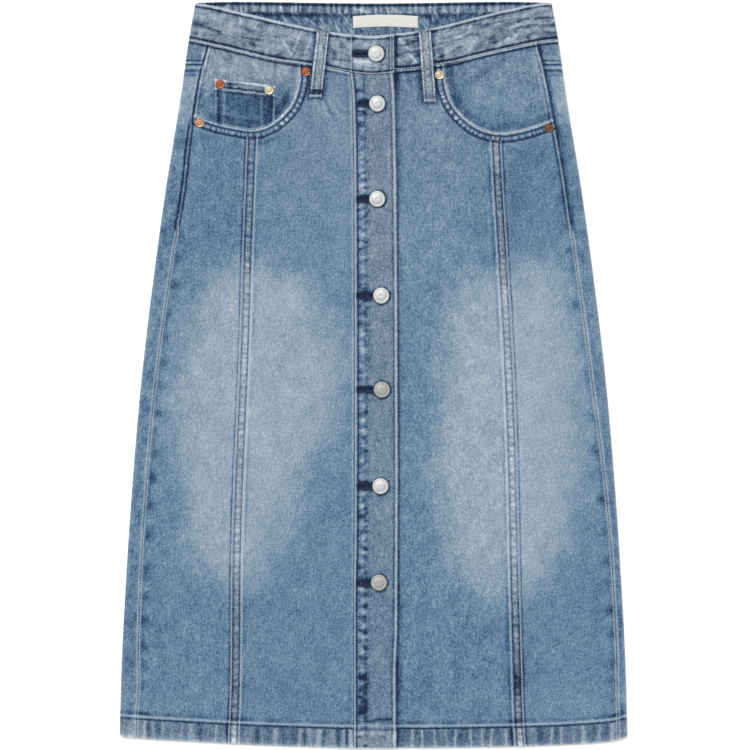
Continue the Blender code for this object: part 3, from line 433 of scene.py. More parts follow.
half_width = curve(OUTLINE)
fold_height = curve(FOLD_HEIGHT)
hem_drop = curve(HEM)
side_inset = {side: curve(rows) for side, rows in SIDE_INSET.items()}
felled_seam = {side: curve(rows) for side, rows in FELLED_SEAM.items()}
waist_front_top = {side: curve(rows, 1) for side, rows in WAIST_FRONT.items()}
waist_front_bottom = {side: curve(rows, 2) for side, rows in WAIST_FRONT.items()}
waist_back_top = curve(WAIST_BACK, 1)
waist_back_bottom = curve(WAIST_BACK, 2)
yoke_seam = curve(YOKE_SEAM)
placket_left = curve(PLACKET_EDGES, 1)
placket_right = curve(PLACKET_EDGES, 2)
facing_lower = curve(FACING_LOWER)
pocket_edge = {side: rounded(points) for side, points in POCKET_EDGE.items()}


def side_seam(side, drop):
    return side * (half_width(drop) - side_inset[side](drop))


def lap_edge(side, drop):
    """Outer edge of the felled lap, where the centre panel ends."""
    return side * (felled_seam[side](drop) + FELL_HALF_WIDTH)


# Distances from the seams, above 0 on their outer side or below them

def seam_gap(side, x, drop):
    return side * x - abs(side_seam(side, drop))


def felled_gap(side, x, drop):
    return side * x - felled_seam[side](drop)


def waist_gap(side, x, drop):
    return drop - waist_front_bottom[side](x)


def hem_gap(x, drop):
    """From the upper edge of the hem's turning."""
    return drop - (hem_drop(x) - HEM_DEPTH)


def pocket_drop(side, x):
    """Drop of the pocket edge at x, on its run from the waistband to the side seam."""
    line = pocket_edge[side]
    return np.interp(side * x, np.maximum.accumulate(side * line[:, 0]), line[:, 1])


def pocket_gap(side, x, drop):
    """Distance outside the pocket edge, negative where the pocket is open, and the way along."""
    gap, along = beside(pocket_edge[side][::3], x, drop)
    is_open = (side * x > side * pocket_edge[side][0][0]) & (drop < pocket_drop(side, x))
    return np.where(is_open, -gap, gap), along


# The lie of the cloth: heights of outer skins above the ground

def hem_turn(x, drop):
    """0 on the panel, 1 on its turned-up hem."""
    return np.clip(hem_gap(x, drop) / HEM_STEP, 0.0, 1.0)


def panel_cloth(x, drop):
    return CLOTH + HEM_BUILD * hem_turn(x, drop)


def hem_rise(x, drop):
    lift = HEM_LIFT * eased(hem_gap(x, drop), -HEM_APPROACH, 0)
    return lift + (HEM_BUILD - HEM_PRESSED) * hem_turn(x, drop)


def waist_level(side, x, drop):
    """Outer skin of the waistband's front."""
    fold = eased(half_width(drop) - abs(x), WAIST_FOLD_RADIUS, WAIST_FOLD_SPREAD)
    level = mix(2 * WAIST_FOLD_RADIUS, WAIST_LEVEL, fold)
    if side == RIGHT:
        return mix(WAIST_STAND_LEVEL, level, eased(x, *WAIST_STAND_SPREAD))
    lapped = WAIST_STAND_LEVEL + LAYER_GAP + DOUBLE_CLOTH
    return mix(level, lapped, eased(x, *WAIST_LAP_SPREAD))


def body_level(side, x, drop):
    """Outer skin of a panel, away from the waistband and the placket."""
    inset = half_width(drop) - abs(x)
    rest = REST_LEVEL + hem_rise(x, drop)
    level = mix(fold_height(drop), rest, eased(inset, fold_height(drop) / 2, SETTLE))
    over_pocket = eased(side * x, *POCKET_SPREAD) * (1 - eased(drop, *POCKET_SETTLE))
    return mix(level, POCKET_LEVEL, over_pocket)


def under_waist(side, x, drop, level):
    """The given level, brought up to the waistband along its seam."""
    below = eased(waist_gap(side, x, drop), 0, WAIST_APPROACH)
    return mix(waist_level(side, x, drop) - WAIST_STEP, level, below)


def right_level(x, drop):
    """Outer skin of the right front, which runs on under the placket as the button stand."""
    stand = STAND_LEVEL + hem_rise(x, drop)
    level = mix(stand, body_level(RIGHT, x, drop), eased(x, *STAND_SPREAD))
    return under_waist(RIGHT, x, drop, level)


def placket_under(x, drop):
    return right_level(x, drop) + LAYER_GAP


def placket_level(x, drop):
    return placket_under(x, drop) + PLACKET_CLOTH + (HEM_BUILD - PLACKET_PRESSED) * hem_turn(x, drop)


def left_level(x, drop):
    """Outer skin of the left front, which rises to the placket."""
    level = under_waist(LEFT, x, drop, body_level(LEFT, x, drop))
    edge = placket_left(drop)
    beside_it = placket_level(edge, drop) - PLACKET_STEP
    return mix(beside_it, level, eased(edge - x, 0, PLACKET_SPREAD))


def front_level(side, x, drop):
    return left_level(x, drop) if side == LEFT else right_level(x, drop)


def lap_rise(side, x, drop):
    """The felled lap's rise over the centre panel, up to its outer edge."""
    across = felled_gap(side, x, drop)
    rise = FELL_RISE * np.clip((across + FELL_HALF_WIDTH) / FELL_SLOPE, 0.0, 1.0)
    return np.where(across < FELL_HALF_WIDTH + SEAM_GAP / 2, rise, 0.0)


def facing_level(side, x, drop):
    rise = eased(-pocket_gap(side, x, drop)[0], *FACING_RISE)
    return front_level(side, x, drop) - FACING_SUNK * (1 - rise)


def coin_level(x, drop):
    return facing_level(LEFT, x, drop) + COIN_GAP + CLOTH


def loop_middle(side, drop):
    (x0, drop0), (x1, drop1) = BELT_LOOPS[side]
    return mix(x0, x1, (drop - drop0) / (drop1 - drop0))


def loop_level(side, drop):
    """The highest that the waistband, or the panel below it, comes across a belt loop's width."""
    levels = []
    for reach in np.linspace(-LOOP_WIDTH / 2, LOOP_WIDTH / 2, 6):
        x = loop_middle(side, drop) + reach
        levels.append(mix(waist_level(side, x, drop), front_level(side, x, drop),
                          eased(waist_gap(side, x, drop), *LOOP_SETTLE)))
    return np.max(levels, axis=0)


# The plane of u and drop, and its bend round the side folds

def panel_radius(drop):
    return fold_height(drop) / 2


def waist_radius(drop):
    return WAIST_FOLD_RADIUS + 0 * drop


def flat_half(drop, radius):
    """Half width of the flat bottom layer."""
    return half_width(drop) - radius(drop)


def way_round(side, x, drop, radius):
    """u of a place on the front layer."""
    return side * (2 * flat_half(drop, radius) + math.pi * radius(drop) - side * x)


def front_x(u, drop, radius):
    """x of a place given by u, and how far it is past the flat bottom layer."""
    side, flat, bend = np.where(u >= 0, 1, -1), flat_half(drop, radius), math.pi * radius(drop)
    past = abs(u) - flat
    x = np.where(past <= bend, flat + radius(drop) * np.sin(math.pi * past / bend),
                 flat - (past - bend))
    return np.where(past <= 0, u, side * x), past


def wrapped(radius, level, depth):
    """The skin that lies depth inside the outer one, as a function of u and drop."""
    def skin(u, drop):
        x, past = front_x(u, drop, radius)
        side, round_it = np.where(u >= 0, 1, -1), radius(drop)
        inward = depth(x, drop)
        angle = past / round_it - math.pi / 2
        reach = round_it - inward
        on_fold = (past > 0) & (past <= math.pi * round_it)
        front = np.where(u >= 0, level(RIGHT, x, drop), level(LEFT, x, drop)) - inward
        place = np.where(on_fold, side * (flat_half(drop, radius) + reach * np.cos(angle)), x)
        height = np.where(past <= 0, inward, np.where(on_fold, round_it + reach * np.sin(angle), front))
        return place, drop, height

    return skin


# Relief and wash. Wash runs from 0, raw indigo, to 1, rubbed white; 0.5 is the plain cloth. Besides fading
# and wear it also carries painted shade, shadow and light

def roping(along, pitch, seed):
    """Uneven ups and downs along a seam, from -1 to 1."""
    waver = along / pitch + 0.8 * noise(along / pitch / 2.2, seed * 7.3, seed)
    return np.sin(2 * math.pi * waver) * (0.65 + 0.35 * noise(along / pitch / 1.6, 3.4, seed))


def flecks(a, b, seed, start=0.25):
    """Scattered soft blots, from 0 to 1."""
    return np.clip((noise(a, b, seed) - start) / (0.9 - start), 0, 1)


def fade(x, drop):
    """The pale thighs, with cloudy edges."""
    ragged = clouds(x, drop, (8, 30, 38, 3), (5, 11, 15, 4), (2.5, 4.5, 6, 5))
    total = 0.022 * spot(abs(x), drop, 120, 370, 60, 70)
    for rows in FADES:
        ring = [(a, at) for at, a, b in rows] + [(b, at) for at, a, b in rows[::-1]]
        gap = beside(ring + ring[:1], x, drop)[0]
        inside = ((drop > rows[0][0]) & (drop < rows[-1][0])
                  & (x > curve(rows, 1)(drop)) & (x < curve(rows, 2)(drop)))
        total += 0.224 * eased(np.where(inside, gap, -gap) + ragged, -27, 29)
    return total


def crease(x, drop, column):
    """Height (column 0) or wash (column 1) of the creases, dying away at their ends."""
    total = 0.0
    for line, half, *amounts in CREASES:
        gap, along = beside(line, x, drop)
        length = sum(math.dist(a, b) for a, b in zip(line, line[1:]))
        ends = np.sin(math.pi * np.clip(along / length, 0, 1)) ** 0.6
        total += amounts[column] * stripe(gap, 0, half) * ends
    return total


def marks(table, x, drop):
    """Rubs and scratches, each a soft line."""
    return sum(amount * stripe(beside(ends, x, drop)[0], 0, half) for *ends, half, amount in table)


def pocket_swing(along):
    """How far the left pocket's rows swing out where its edge turns down."""
    return 3.0 * stripe(along, 50, 22)


def sewn_pocket_gap(side, x, drop):
    """As pocket_gap, with the swing of the rows taken off."""
    gap, along = pocket_gap(side, x, drop)
    return gap - (side == LEFT) * pocket_swing(along) * eased(gap, -3, 4), along


def puckers(side, x, hem):
    """The hem's puckers, each leaning a little its own way."""
    return sum(1.4 * amount * stripe(x - 0.08 * math.sin(place) * (hem - 9), place, 0.9 * half)
               for place, half, amount in HEM_PUCKERS[side])


def seam_puckers(side, seam, drop):
    return sum(1.1 * amount * spot(seam, drop - 0.25 * (seam + 6) * math.sin(place), -6.2, place, 4.6, 5.2)
               for place, amount in SEAM_PUCKERS[side])


def front_relief(side, x, drop):
    """What the seams and creases add to the front panels' level."""
    felled, hem = felled_gap(side, x, drop), hem_gap(x, drop)
    pocket, along = sewn_pocket_gap(side, x, drop)
    sewn = eased(pocket, 4, 8) * (drop > LAP_SEWN)
    rise = crease(x, drop, 0) * (1 - between(hem, -6, 40, 12)) * eased(pocket, 6, 30)
    rise += sewn * (0.16 * between(felled, -2.4, 2.4) * roping(drop, 4.4, 11 + side) - lines(
        felled, (-3.2, 0.9, 0.22), (3.1, 0.9, 0.22), (-7.4, 1.1, 0.18), (6.9, 1.1, 0.18)))
    rise -= 1.2 * seam_puckers(side, seam_gap(side, x, drop), drop)
    rise -= lines(hem, (0.6, 1.0, 0.28), (-4.8, 2.0, 0.15 * roping(x, 19, 14)))
    rise += between(hem, 3, 17, 2) * (0.9 * puckers(side, x, hem) + 0.08 * roping(x, 6.5, 12))
    rise -= (pocket > 0) * lines(pocket, (3.0, 0.8, 0.25), (8.4, 0.9, 0.25))
    return rise + 0.20 * between(pocket, 4, 7) * roping(along, 5.1, 13 + side)


def panel_top(side, x, drop):
    """Outer skin of the front panels with its lap, seams and creases."""
    return (front_level(side, x, drop) + lap_rise(side, x, drop) * (drop > 100)
            + front_relief(side, x, drop))


def plain_wash(x, drop):
    """The cloth without its seams."""
    middle = 1 - eased(abs(x), 70, 150)
    value = 0.50 + fade(x, drop) + clouds(x, drop, (0.022, 42, 60, 6), (0.02, 11, 17, 7))
    value += 0.04 * (1 - eased(drop, 120, 420)) * middle - 0.022 * eased(drop, 560, 640)
    value -= 0.04 * between(drop, 150, 250, 30) * eased(abs(x), 120, 150)
    value += 0.02 * (1 - eased(x, -190, -150)) + 0.05 * eased(x, 150, 190) * between(drop, 725, 742, 20)
    return value + sum(amount * spot(x, drop, *place) for *place, amount in BLOTS)


def felled_wash(side, felled, drop):
    """A dark line inside each pale row of stitches, and a beaded band between."""
    right, rubbed = side == RIGHT, between(drop, 285, 585, 15)
    dark = -0.44 * (1 - (0.22 if right else 0.1) * rubbed)
    faint = 0.16 - 0.09 * rubbed if right else 0.05
    beads = 0.035 + 0.015 * side + (0.13 if right else 0.05) * (1 - eased(drop, 165, 190))
    beads += 0.13 * roping(drop, 6.3, 11 + side) + 0.08 * roping(drop, 10.5, 15 + side)
    beads += 0.05 * noise(drop / 24, 5, 17 + side) - 0.2 * right * between(drop, 708, 724, 5)
    return between(felled, -2.4, 2.3, 0.6) * beads + lines(
        felled, (5.0, 0.95, 0.31), (-5.6, 1.1, 0.25) if right else (-5.3, 1.15, 0.29),
        (3.3, 0.85, dark), (-3.4, 0.85, dark), (6.9, 0.85, -0.36 - 0.14 * noise(drop / 24, 0, 20)),
        (-8.4, 1.1, -faint - 0.12 * noise(drop / 18, 1, 21)), (9.4, 1.5, 0.06))


def hem_wash(side, x, felled, hem, seam):
    """Pale stitches over a dark line, and a roped band with a paler fold."""
    ropes = puckers(side, x, hem) + 0.05 * noise(x / 4.2, hem / 16, 22)
    ropes = ropes * (1 - 0.3 * eased(hem, 13, 18)) - (0.11 if side == RIGHT else 0.055)
    rubs = 0.32 * np.exp(-(felled / 4.6) ** 4) + 0.16 * stripe(seam, 6, 12)
    crossing = stripe(felled, 0, 7.5) + stripe(seam, -3, 11)
    return (between(hem, 2.0, 40, 0.8) * (ropes + rubs)
            + 0.10 * eased(hem, 12, 17) + 0.26 * eased(hem, 17.6, 20.5)
            + lines(hem, (-2.0, 1.3, 0.30), (0.6, 0.85, -0.50), (-5.6, 2.1, -0.36 * crossing),
                    (-5.2, 2.2, -0.11 * (1 + roping(x, 30, 23)))))


def side_seam_wash(side, x, drop, seam):
    """Dark lines over the hip, two fine pale ones below it, and the yoke seam's end."""
    hip = 1 - eased(drop, HIP_TACK - 8, HIP_TACK + 4)
    if side == LEFT:
        turn = eased(drop, 118, 134)
        value = hip * lines(seam, (mix(-2.2, 0.4, turn), 0.9, 0.26), (mix(0.1, -1.6, turn), 0.9, -0.54),
                            (2.6, 0.9, 0.26 * (1 - turn)), (2.5, 1.2, -0.62 * turn),
                            (-4.2, 1.0, -0.14 * (1 - turn)))
    else:
        turn = eased(drop, 120, 140)
        value = hip * lines(seam, (-1.3, 0.9, 0.28), (0.9, 1.2, -0.50), (-3.8, 1.0, -mix(0.14, 0.32, turn)),
                            (3.6, 1.8, -0.14), (-5.6, 1.2, 0.16 * (1 - turn)))
        value -= 0.06 * (1 - hip) * stripe(seam, 4.4, 1.5)
    value += (1 - hip) * (
        0.03 * between(seam, -11, -3, 2) - 0.03 * between(seam, 3, 18, 1.5)
        + lines(seam, (1.5, 0.9, 0.18), (-1.3, 0.9, 0.18), (0.4, 0.7, 0.12), (-4.0, 1.6, -0.07)))
    value += 0.10 * noise(x / 5, drop / 7, 95) * stripe(seam, 4, 13) - seam_puckers(side, seam, drop)
    value += 0.15 * (1 - turn) * between(seam, 7, 20, 5) * (drop > 78)
    return value + between(seam, 1.0, 40, 0.8) * (
        0.09 * noise(x / 3.6, drop / 5, 96) * (1 - eased(drop, 64, 80))
        + lines(drop, (64.1, 0.9, 0.18), (62.1, 0.9, -0.36), (66.3, 1.0, -0.46), (69.2, 1.2, 0.18),
                (72.4, 1.1, -0.42), (77.6, 1.0, -0.16)))


def pocket_wash(side, pocket, along):
    """Pale fold, dark line, beads, dark line."""
    swell = 0.5 + 0.5 * noise(along / 9, 2, 27 + side)
    ladder = roping(along, 5.1, 13 + side) * (0.4 + 0.6 * eased(along, 20, 45))
    beads = 0.10 * swell - 0.01 + 0.12 * (1 - eased(along, 14, 30))
    beads += (0.34 + 0.12 * between(along, 40, 70, 6)) * ladder
    return between(pocket, 4.2, 7.4, 0.7) * beads + lines(
        pocket, (0.15, 1.15, 0.40 + 0.10 * ladder), (2.8, 0.9, -0.43 - 0.18 * swell),
        (8.7, 1.1, -0.63), (11, 1.2, 0.08))


def front_wash(side, x, drop):
    felled, hem, seam = felled_gap(side, x, drop), hem_gap(x, drop), seam_gap(side, x, drop)
    pocket, along = sewn_pocket_gap(side, x, drop)
    waist, sag = waist_gap(side, x, drop), foot_sag(x)
    value = plain_wash(x, drop) + crease(x, drop, 1)
    value += eased(pocket, 6, 9) * (drop > LAP_SEWN) * felled_wash(side, felled, drop)
    value += hem_wash(side, x, felled, hem, seam) + side_seam_wash(side, x, drop, seam)
    value += (pocket > -0.5) * (1 - eased(seam, -0.6, 0.4)) * pocket_wash(side, pocket, along)
    # Below the waistband, with painted shadow of the band fading down the panel and painted shadow beside
    # the belt loops
    value += lines(waist, (sag, 1.1, 0.54), (2.4 + sag, 1.2, -0.594 + 0.374 * between(x, -52, -22, 8)))
    value += 0.12 * spot(x, drop, 71, 106, 5, 12) - 0.10 * fading(waist, 6)
    value -= loop_shade(side, x, drop)
    # Beside the placket
    if side == LEFT:
        gap = placket_left(drop) - x
        value += 0.02 * between(gap, 3, 22, 6) * (1 - eased(drop, 480, 600))
        value += lines(gap, (2.0, 1.0, 0.18 - 0.08 * eased(drop, 560, 640)),
                       (0.2, 0.7, -0.30 * np.maximum(noise(drop / 26, 3, 26), 0)),
                       (5.0, 2.0, -0.06 * (0.5 + noise(drop / 30, 2, 25))))
    else:
        # Right of the placket: painted shadow of its free edge, wider near the top and the hem, painted
        # shade on the button stand under it, and a painted shadow below the waistband's overhanging end
        gap, slant = x - placket_right(drop), x - 0.4 * (drop - 76)
        reach = 1.5 + 2.4 * np.maximum(1 - eased(drop, 190, 240), between(drop, 645, 770, 25))
        value -= (0.36 + 0.08 * noise(drop / 60, 3, 24)) * np.exp(-(np.maximum(gap, 0) / reach) ** 1.5)
        value = np.where(gap < -1.5, 0.1, value) - 0.42 * spot(gap, drop, 2, 80, 4.5, 11)
        value += 0.16 * stripe(slant, 31, 1.4) * between(drop, 72, 90, 3)
        value -= 0.18 * stripe(slant, 35, 1.6) * between(drop, 72, 84, 3)
    return value + (0.12 if side == LEFT else 0.24) * fading(half_width(drop) - abs(x), 2.0)


def foot_sag(x):
    """How far the waistband's lower rows hang below its even seam."""
    return np.interp(x, (-150, -70, -45, -24, 60), (0, 0, 1.1, 1.1, 0.7))


def loop_shade(side, x, drop):
    """Painted shadow beside the belt loops, ending at their feet."""
    off, foot = x - loop_middle(side, drop) - (0.6 if side == LEFT else 0), BELT_LOOPS[side][1][1]
    soft = np.where(off < 0, 4.2 if side == LEFT else 5.0, 3.4)
    return 0.40 * stripe(np.maximum(abs(off) - 6.2, 0), 0, soft) * (1 - eased(drop, foot - 2, foot + 4))


def front_worn(side, x, drop):
    """How far the blue is rubbed to grey."""
    rubbed = 0.5 if side == RIGHT else mix(0.2, 0.5, eased(drop, 230, 290))
    grey = rubbed * between(felled_gap(side, x, drop), -3, 3) * (drop > 130)
    grey += 0.3 * (hem_gap(x, drop) > 1) + 0.2 * (drop < YOKE_FRONT_DROP) * (seam_gap(side, x, drop) > 0)
    return grey + 0.12 * (1 - eased(drop, 80, 300)) * (1 - eased(abs(x), 80, 150))


# Materials

def linear(code):
    """An sRGB hex colour as linear red, green, blue and alpha."""
    parts = [int(code[i:i + 2], 16) / 255 for i in (1, 3, 5)]
    return [p / 12.92 if p <= 0.04045 else ((p + 0.055) / 1.055) ** 2.4 for p in parts] + [1.0]


def add_node(tree, kind, settings=(), links=()):
    """A node with its properties and input values set, its inputs linked to sockets or nodes."""
    node = tree.nodes.new(kind)
    for key, value in dict(settings).items():
        if isinstance(key, str) and hasattr(node, key):
            setattr(node, key, value)
        else:
            node.inputs[key].default_value = value
    for key, source in dict(links).items():
        tree.links.new(source.outputs[0] if isinstance(source, bpy.types.Node) else source,
                       node.inputs[key])
    return node


def new_material(name, **surface):
    """A material's tree and shader, with the shader's plain values set."""
    material = bpy.data.materials.new(name)
    material.use_nodes = True
    shader = material.node_tree.nodes["Principled BSDF"]
    for label, value in surface.items():
        shader.inputs[label.replace("_", " ")].default_value = value
    return material, material.node_tree, shader


def finished(material, shader, colour, height, strength, depth):
    """The material with its colour linked, and its relief as bump of a depth in millimetres."""
    tree = material.node_tree
    bump = add_node(tree, "ShaderNodeBump", {"Strength": strength, "Distance": depth * MM},
                    {"Height": height})
    tree.links.new(colour, shader.inputs["Base Color"])
    tree.links.new(bump.outputs["Normal"], shader.inputs["Normal"])
    return material


GRAIN = (  # speck's width and height, its turn, noise from and to, wash from and to, where
    (1.5, 1.5, 0, 0.36, 0.64, -0.078, 0.078, "all"),
    (1.3, 3.4, 31, 0.36, 0.64, -0.03, 0.03, "all"),
    (1.3, 3.4, -37, 0.36, 0.64, -0.08, 0.085, "all"),
    (1.5, 8.0, 3, 0.36, 0.64, -0.055, 0.06, "all"),
    (6.5, 1.5, -3, 0.36, 0.64, -0.028, 0.028, "all"),
    (12.0, 17.0, 0, 0.30, 0.70, -0.05, 0.05, "all"),
    (1.7, 9.0, 38, 0.58, 0.68, 0.0, 0.16, "worn"),
    (1.7, 10.0, -30, 0.58, 0.68, 0.0, 0.16, "worn"),
    (7.0, 1.9, 8, 0.32, 0.42, -0.20, 0.0, "worn"),
    (2.3, 5.0, 10, 0.33, 0.42, -0.14, 0.0, "worn"),
)
# Colours by wash: of the open cloth, and of seams and edges rubbed grey
BLUE_STOPS = ((0.0, "#021c38"), (0.15, "#1c344f"), (0.32, "#395471"), (0.5, "#567087"),
              (0.62, "#698093"), (0.74, "#82919d"), (0.88, "#98a5b0"), (1.0, "#b4bfc8"))
GREY_STOPS = ((0.0, "#0e1a2e"), (0.15, "#263446"), (0.32, "#425263"), (0.5, "#606c78"),
              (0.62, "#717d87"), (0.74, "#84909a"), (0.88, "#99a5af"), (1.0, "#b5bfc8"))


def washed_denim():
    """Stonewashed cotton denim, a 3/1 twill of indigo warp and white weft.

    The wash leaves speckle and short slubs down the warp; nap gives a faint sheen. The twill's
    0.65 mm ribs are drawn 1.5 mm apart, because finer ones don't show.
    """
    material, tree, shader = new_material(
        "washed_denim", Roughness=0.92, Specular_IOR_Level=0.25, Sheen_Weight=0.12, Sheen_Roughness=0.5)
    flat, wash, worn = (add_node(tree, "ShaderNodeAttribute", {"attribute_name": label}).outputs[socket]
                        for label, socket in (("flat", "Vector"), ("wash", "Fac"), ("worn", "Fac")))
    # Specks show less where the cloth is rubbed pale
    calm = add_node(tree, "ShaderNodeMapRange", {
        "From Min": 0.45, "From Max": 0.8, "To Min": 1.0, "To Max": 0.6}, {"Value": wash})
    amount, total = {"all": calm, "worn": worn}, wash
    for across_mm, down_mm, turn, low, high, dark, pale, where in GRAIN:
        mapping = add_node(tree, "ShaderNodeMapping", {
            "vector_type": "TEXTURE", "Rotation": (0, 0, math.radians(turn)),
            "Scale": (across_mm, down_mm, 10.0)}, {"Vector": flat})
        cloud = add_node(tree, "ShaderNodeTexNoise", {"Scale": 1.0, "Detail": 1.0}, {"Vector": mapping})
        part = add_node(tree, "ShaderNodeMapRange", {
            "From Min": low, "From Max": high, "To Min": dark, "To Max": pale}, {"Value": cloud})
        total = add_node(tree, "ShaderNodeMath", {"operation": "MULTIPLY_ADD"},
                         {0: part, 1: amount[where], 2: total})
    ramps = {}
    for place_in_mix, stops in ((6, BLUE_STOPS), (7, GREY_STOPS)):
        ramps[place_in_mix] = add_node(tree, "ShaderNodeValToRGB", links={"Fac": total})
        elements = ramps[place_in_mix].color_ramp.elements
        while len(elements) < len(stops):
            elements.new(0.5)
        for element, (place, code) in zip(elements, stops):
            element.position = place
            element.color = linear(code)
    grey = add_node(tree, "ShaderNodeMath", {"operation": "MULTIPLY", "use_clamp": True, 1: 1.5},
                    {0: worn})
    colour = add_node(tree, "ShaderNodeMix", {"data_type": "RGBA"}, {0: grey, **ramps})
    ribs_way = add_node(tree, "ShaderNodeMapping", {
        "vector_type": "TEXTURE", "Rotation": (0, 0, math.radians(32)), "Scale": (9.4, 9.4, 9.4)},
        {"Vector": flat})
    ribs = add_node(tree, "ShaderNodeTexWave", {
        "Scale": 1.0, "Distortion": 2.2, "Detail": 1.0, "Detail Scale": 3.0}, {"Vector": ribs_way})
    nap = add_node(tree, "ShaderNodeMath", {"operation": "ADD"}, {0: total, 1: ribs.outputs["Fac"]})
    return finished(material, shader, colour.outputs[2], nap, 0.5, 0.3)


def two_tone(tree, deep, pale, grain, vector=None):
    """Two colours mixed by a noise: the colour's socket, and the noise's node."""
    vector = vector or add_node(tree, "ShaderNodeTexCoord").outputs["Object"]
    spots = add_node(tree, "ShaderNodeTexNoise", grain, {"Vector": vector})
    colour = add_node(tree, "ShaderNodeMix", {"data_type": "RGBA", 6: linear(deep), 7: linear(pale)},
                      {0: spots})
    return colour.outputs[2], spots


def spun_thread(name, code, deep):
    """Cotton-wrapped polyester core thread, plied, so it has a dull gleam and fine twists."""
    material, tree, shader = new_material(name, Roughness=0.7, Sheen_Weight=0.1)
    colour, twist = two_tone(tree, deep, code, {"Scale": 1400.0, "Detail": 1.0})
    return finished(material, shader, colour, twist, 0.4, 0.1)


def plated_metal(name, code, deep, roughness, grain):
    """Stamped metal with a thin plating, tumbled with the garment, so it is satin and spotted."""
    material, tree, shader = new_material(name, Metallic=1.0)
    place = add_node(tree, "ShaderNodeTexCoord")
    spots = add_node(tree, "ShaderNodeTexNoise", {"Scale": 1 / (grain * MM), "Detail": 3.0},
                     {"Vector": place.outputs["Object"]})
    ramp = add_node(tree, "ShaderNodeValToRGB", links={"Fac": spots})
    low, high = ramp.color_ramp.elements
    low.position, high.position = 0.35, 0.62
    low.color, high.color = linear(deep), linear(code)
    rough = add_node(tree, "ShaderNodeMapRange", {"To Min": roughness + 0.14,
                                                  "To Max": roughness - 0.05}, {"Value": spots})
    tree.links.new(rough.outputs["Result"], shader.inputs["Roughness"])
    return finished(material, shader, ramp.outputs["Color"], spots, 0.2, 0.08)


def satin_label():
    """Woven polyester satin tape: cream, with close ribs across it and a low gleam."""
    material, tree, shader = new_material("satin_label", Roughness=0.55, Sheen_Weight=0.1)
    flat = add_node(tree, "ShaderNodeAttribute", {"attribute_name": "flat"})
    mapping = add_node(tree, "ShaderNodeMapping", {"vector_type": "TEXTURE", "Scale": (6.0, 0.9, 1.0)},
                       {"Vector": flat.outputs["Vector"]})
    colour, ribs = two_tone(tree, "#b6b6b1", "#cccdc8", {"Scale": 1.0, "Detail": 2.0}, mapping)
    return finished(material, shader, colour, ribs, 0.25, 0.1)


def matt_paper():
    """Seamless white studio paper, matt and smooth."""
    material, tree, shader = new_material("white_paper", Roughness=0.9)
    colour = two_tone(tree, "#fafafa", "#fdfdfd", {"Scale": 300.0})[0]
    tree.links.new(colour, shader.inputs["Base Color"])
    return material


DENIM = washed_denim()
LOOKS = {"denim": DENIM, "denim_pocket": DENIM, "label_cloth": satin_label()}
PALE_THREAD = spun_thread("pale_topstitch_thread", "#a6b4c2", "#8290a0")
BLUE_THREAD = spun_thread("blue_topstitch_thread", "#3b4d69", "#2a3850")
NAVY_THREAD = spun_thread("navy_buttonhole_thread", "#00264e", "#001632")
METALS = {
    "nickel": plated_metal("satin_nickel", "#c4c6c4", "#b0b2b1", 0.58, 1.8),
    "dull nickel": plated_metal("dull_nickel", "#abada9", "#969895", 0.62, 1.8),
    "copper": plated_metal("antique_copper", "#9c6140", "#6d4230", 0.38, 1.1),
    "pale copper": plated_metal("rubbed_copper", "#b58a68", "#8f6a52", 0.38, 1.1),
    "dark copper": plated_metal("tarnished_copper", "#70503f", "#4f3a30", 0.44, 1.1),
    "brass": plated_metal("pale_brass", "#c3b89d", "#9e937a", 0.36, 1.1),
}


# Walls of cloth

def kept_apart(rows, size=ROWS_APART):
    """The rows' points, thinned to one for each square of the given size."""
    points = np.concatenate(rows)
    first = np.unique(np.floor(points / size), axis=0, return_index=True)[1]
    return points[np.sort(first)]


def net(ring, step, keep=None):
    """Points spread evenly over a ring's box."""
    (low_x, low_drop), (high_x, high_drop) = ring.min(axis=0), ring.max(axis=0)
    drops = np.arange(low_drop, high_drop, step * NET_ROWS)
    places = np.arange(low_x, high_x + step, step)
    grid_x = places[None, :] + (np.arange(len(drops)) % 2 * step / 2)[:, None]
    points = np.stack([grid_x.ravel(), np.repeat(drops, len(places))], axis=1)
    return points if keep is None else points[keep(points[:, 0], points[:, 1])]


def sideways(line):
    """The direction across a line at each of its points."""
    way = np.gradient(line, axis=0)
    return np.stack([-way[:, 1], way[:, 0]], axis=1) / np.hypot(*way.T)[:, None]


def rows_beside(line, offsets, step=EDGE_STEP, turn=1):
    """Rows of points that follow a line at the given distances, on its other side if turned."""
    line = evenly(line, step)
    return np.concatenate([line + sideways(line) * offset * turn for offset in offsets])


def rows_both_sides(line, offsets):
    return rows_beside(line, [-offset for offset in offsets] + list(offsets))


def with_net(rows, ring, step=FINE_STEP, keep=None):
    """Rows of points with an even net in the open cloth between them."""
    points = net(ring, step, keep)
    cells = {tuple(cell) for cell in np.floor(rows / SEAM_CELL).astype(int).tolist()}
    open_cloth = [tuple(cell) not in cells for cell in np.floor(points / SEAM_CELL).astype(int).tolist()]
    return np.concatenate([rows, points[np.array(open_cloth, bool)]])


def filled(rings, points, margin):
    """Triangles over the first ring, with the other rings left open, by number of point."""
    edge_points = np.concatenate(rings)
    tree = kdtree.KDTree(len(edge_points))
    for i, (x, drop) in enumerate(edge_points):
        tree.insert((x, drop, 0), i)
    tree.balance()
    points = points[np.all((points > rings[0].min(axis=0)) & (points < rings[0].max(axis=0)), axis=1)]
    clear = [tree.find((x, drop, 0))[2] > margin for x, drop in points]
    everything = np.concatenate([edge_points, points[np.array(clear, bool)]])
    faces, start = [], 0
    for ring in rings:
        faces.append(list(range(start, start + len(ring))))
        start += len(ring)
    flat = [Vector((x, -drop)) for x, drop in everything.tolist()]
    out = delaunay_2d_cdt(flat, [], faces, 0, 1e-5, True)
    source = [ids[0] for ids in out[3]]
    triangles = np.array([[source[corner] for corner in face] for face, ids in zip(out[2], out[5])
                          if 0 in ids and all(hole not in ids for hole in range(1, len(rings)))])
    return everything, triangles


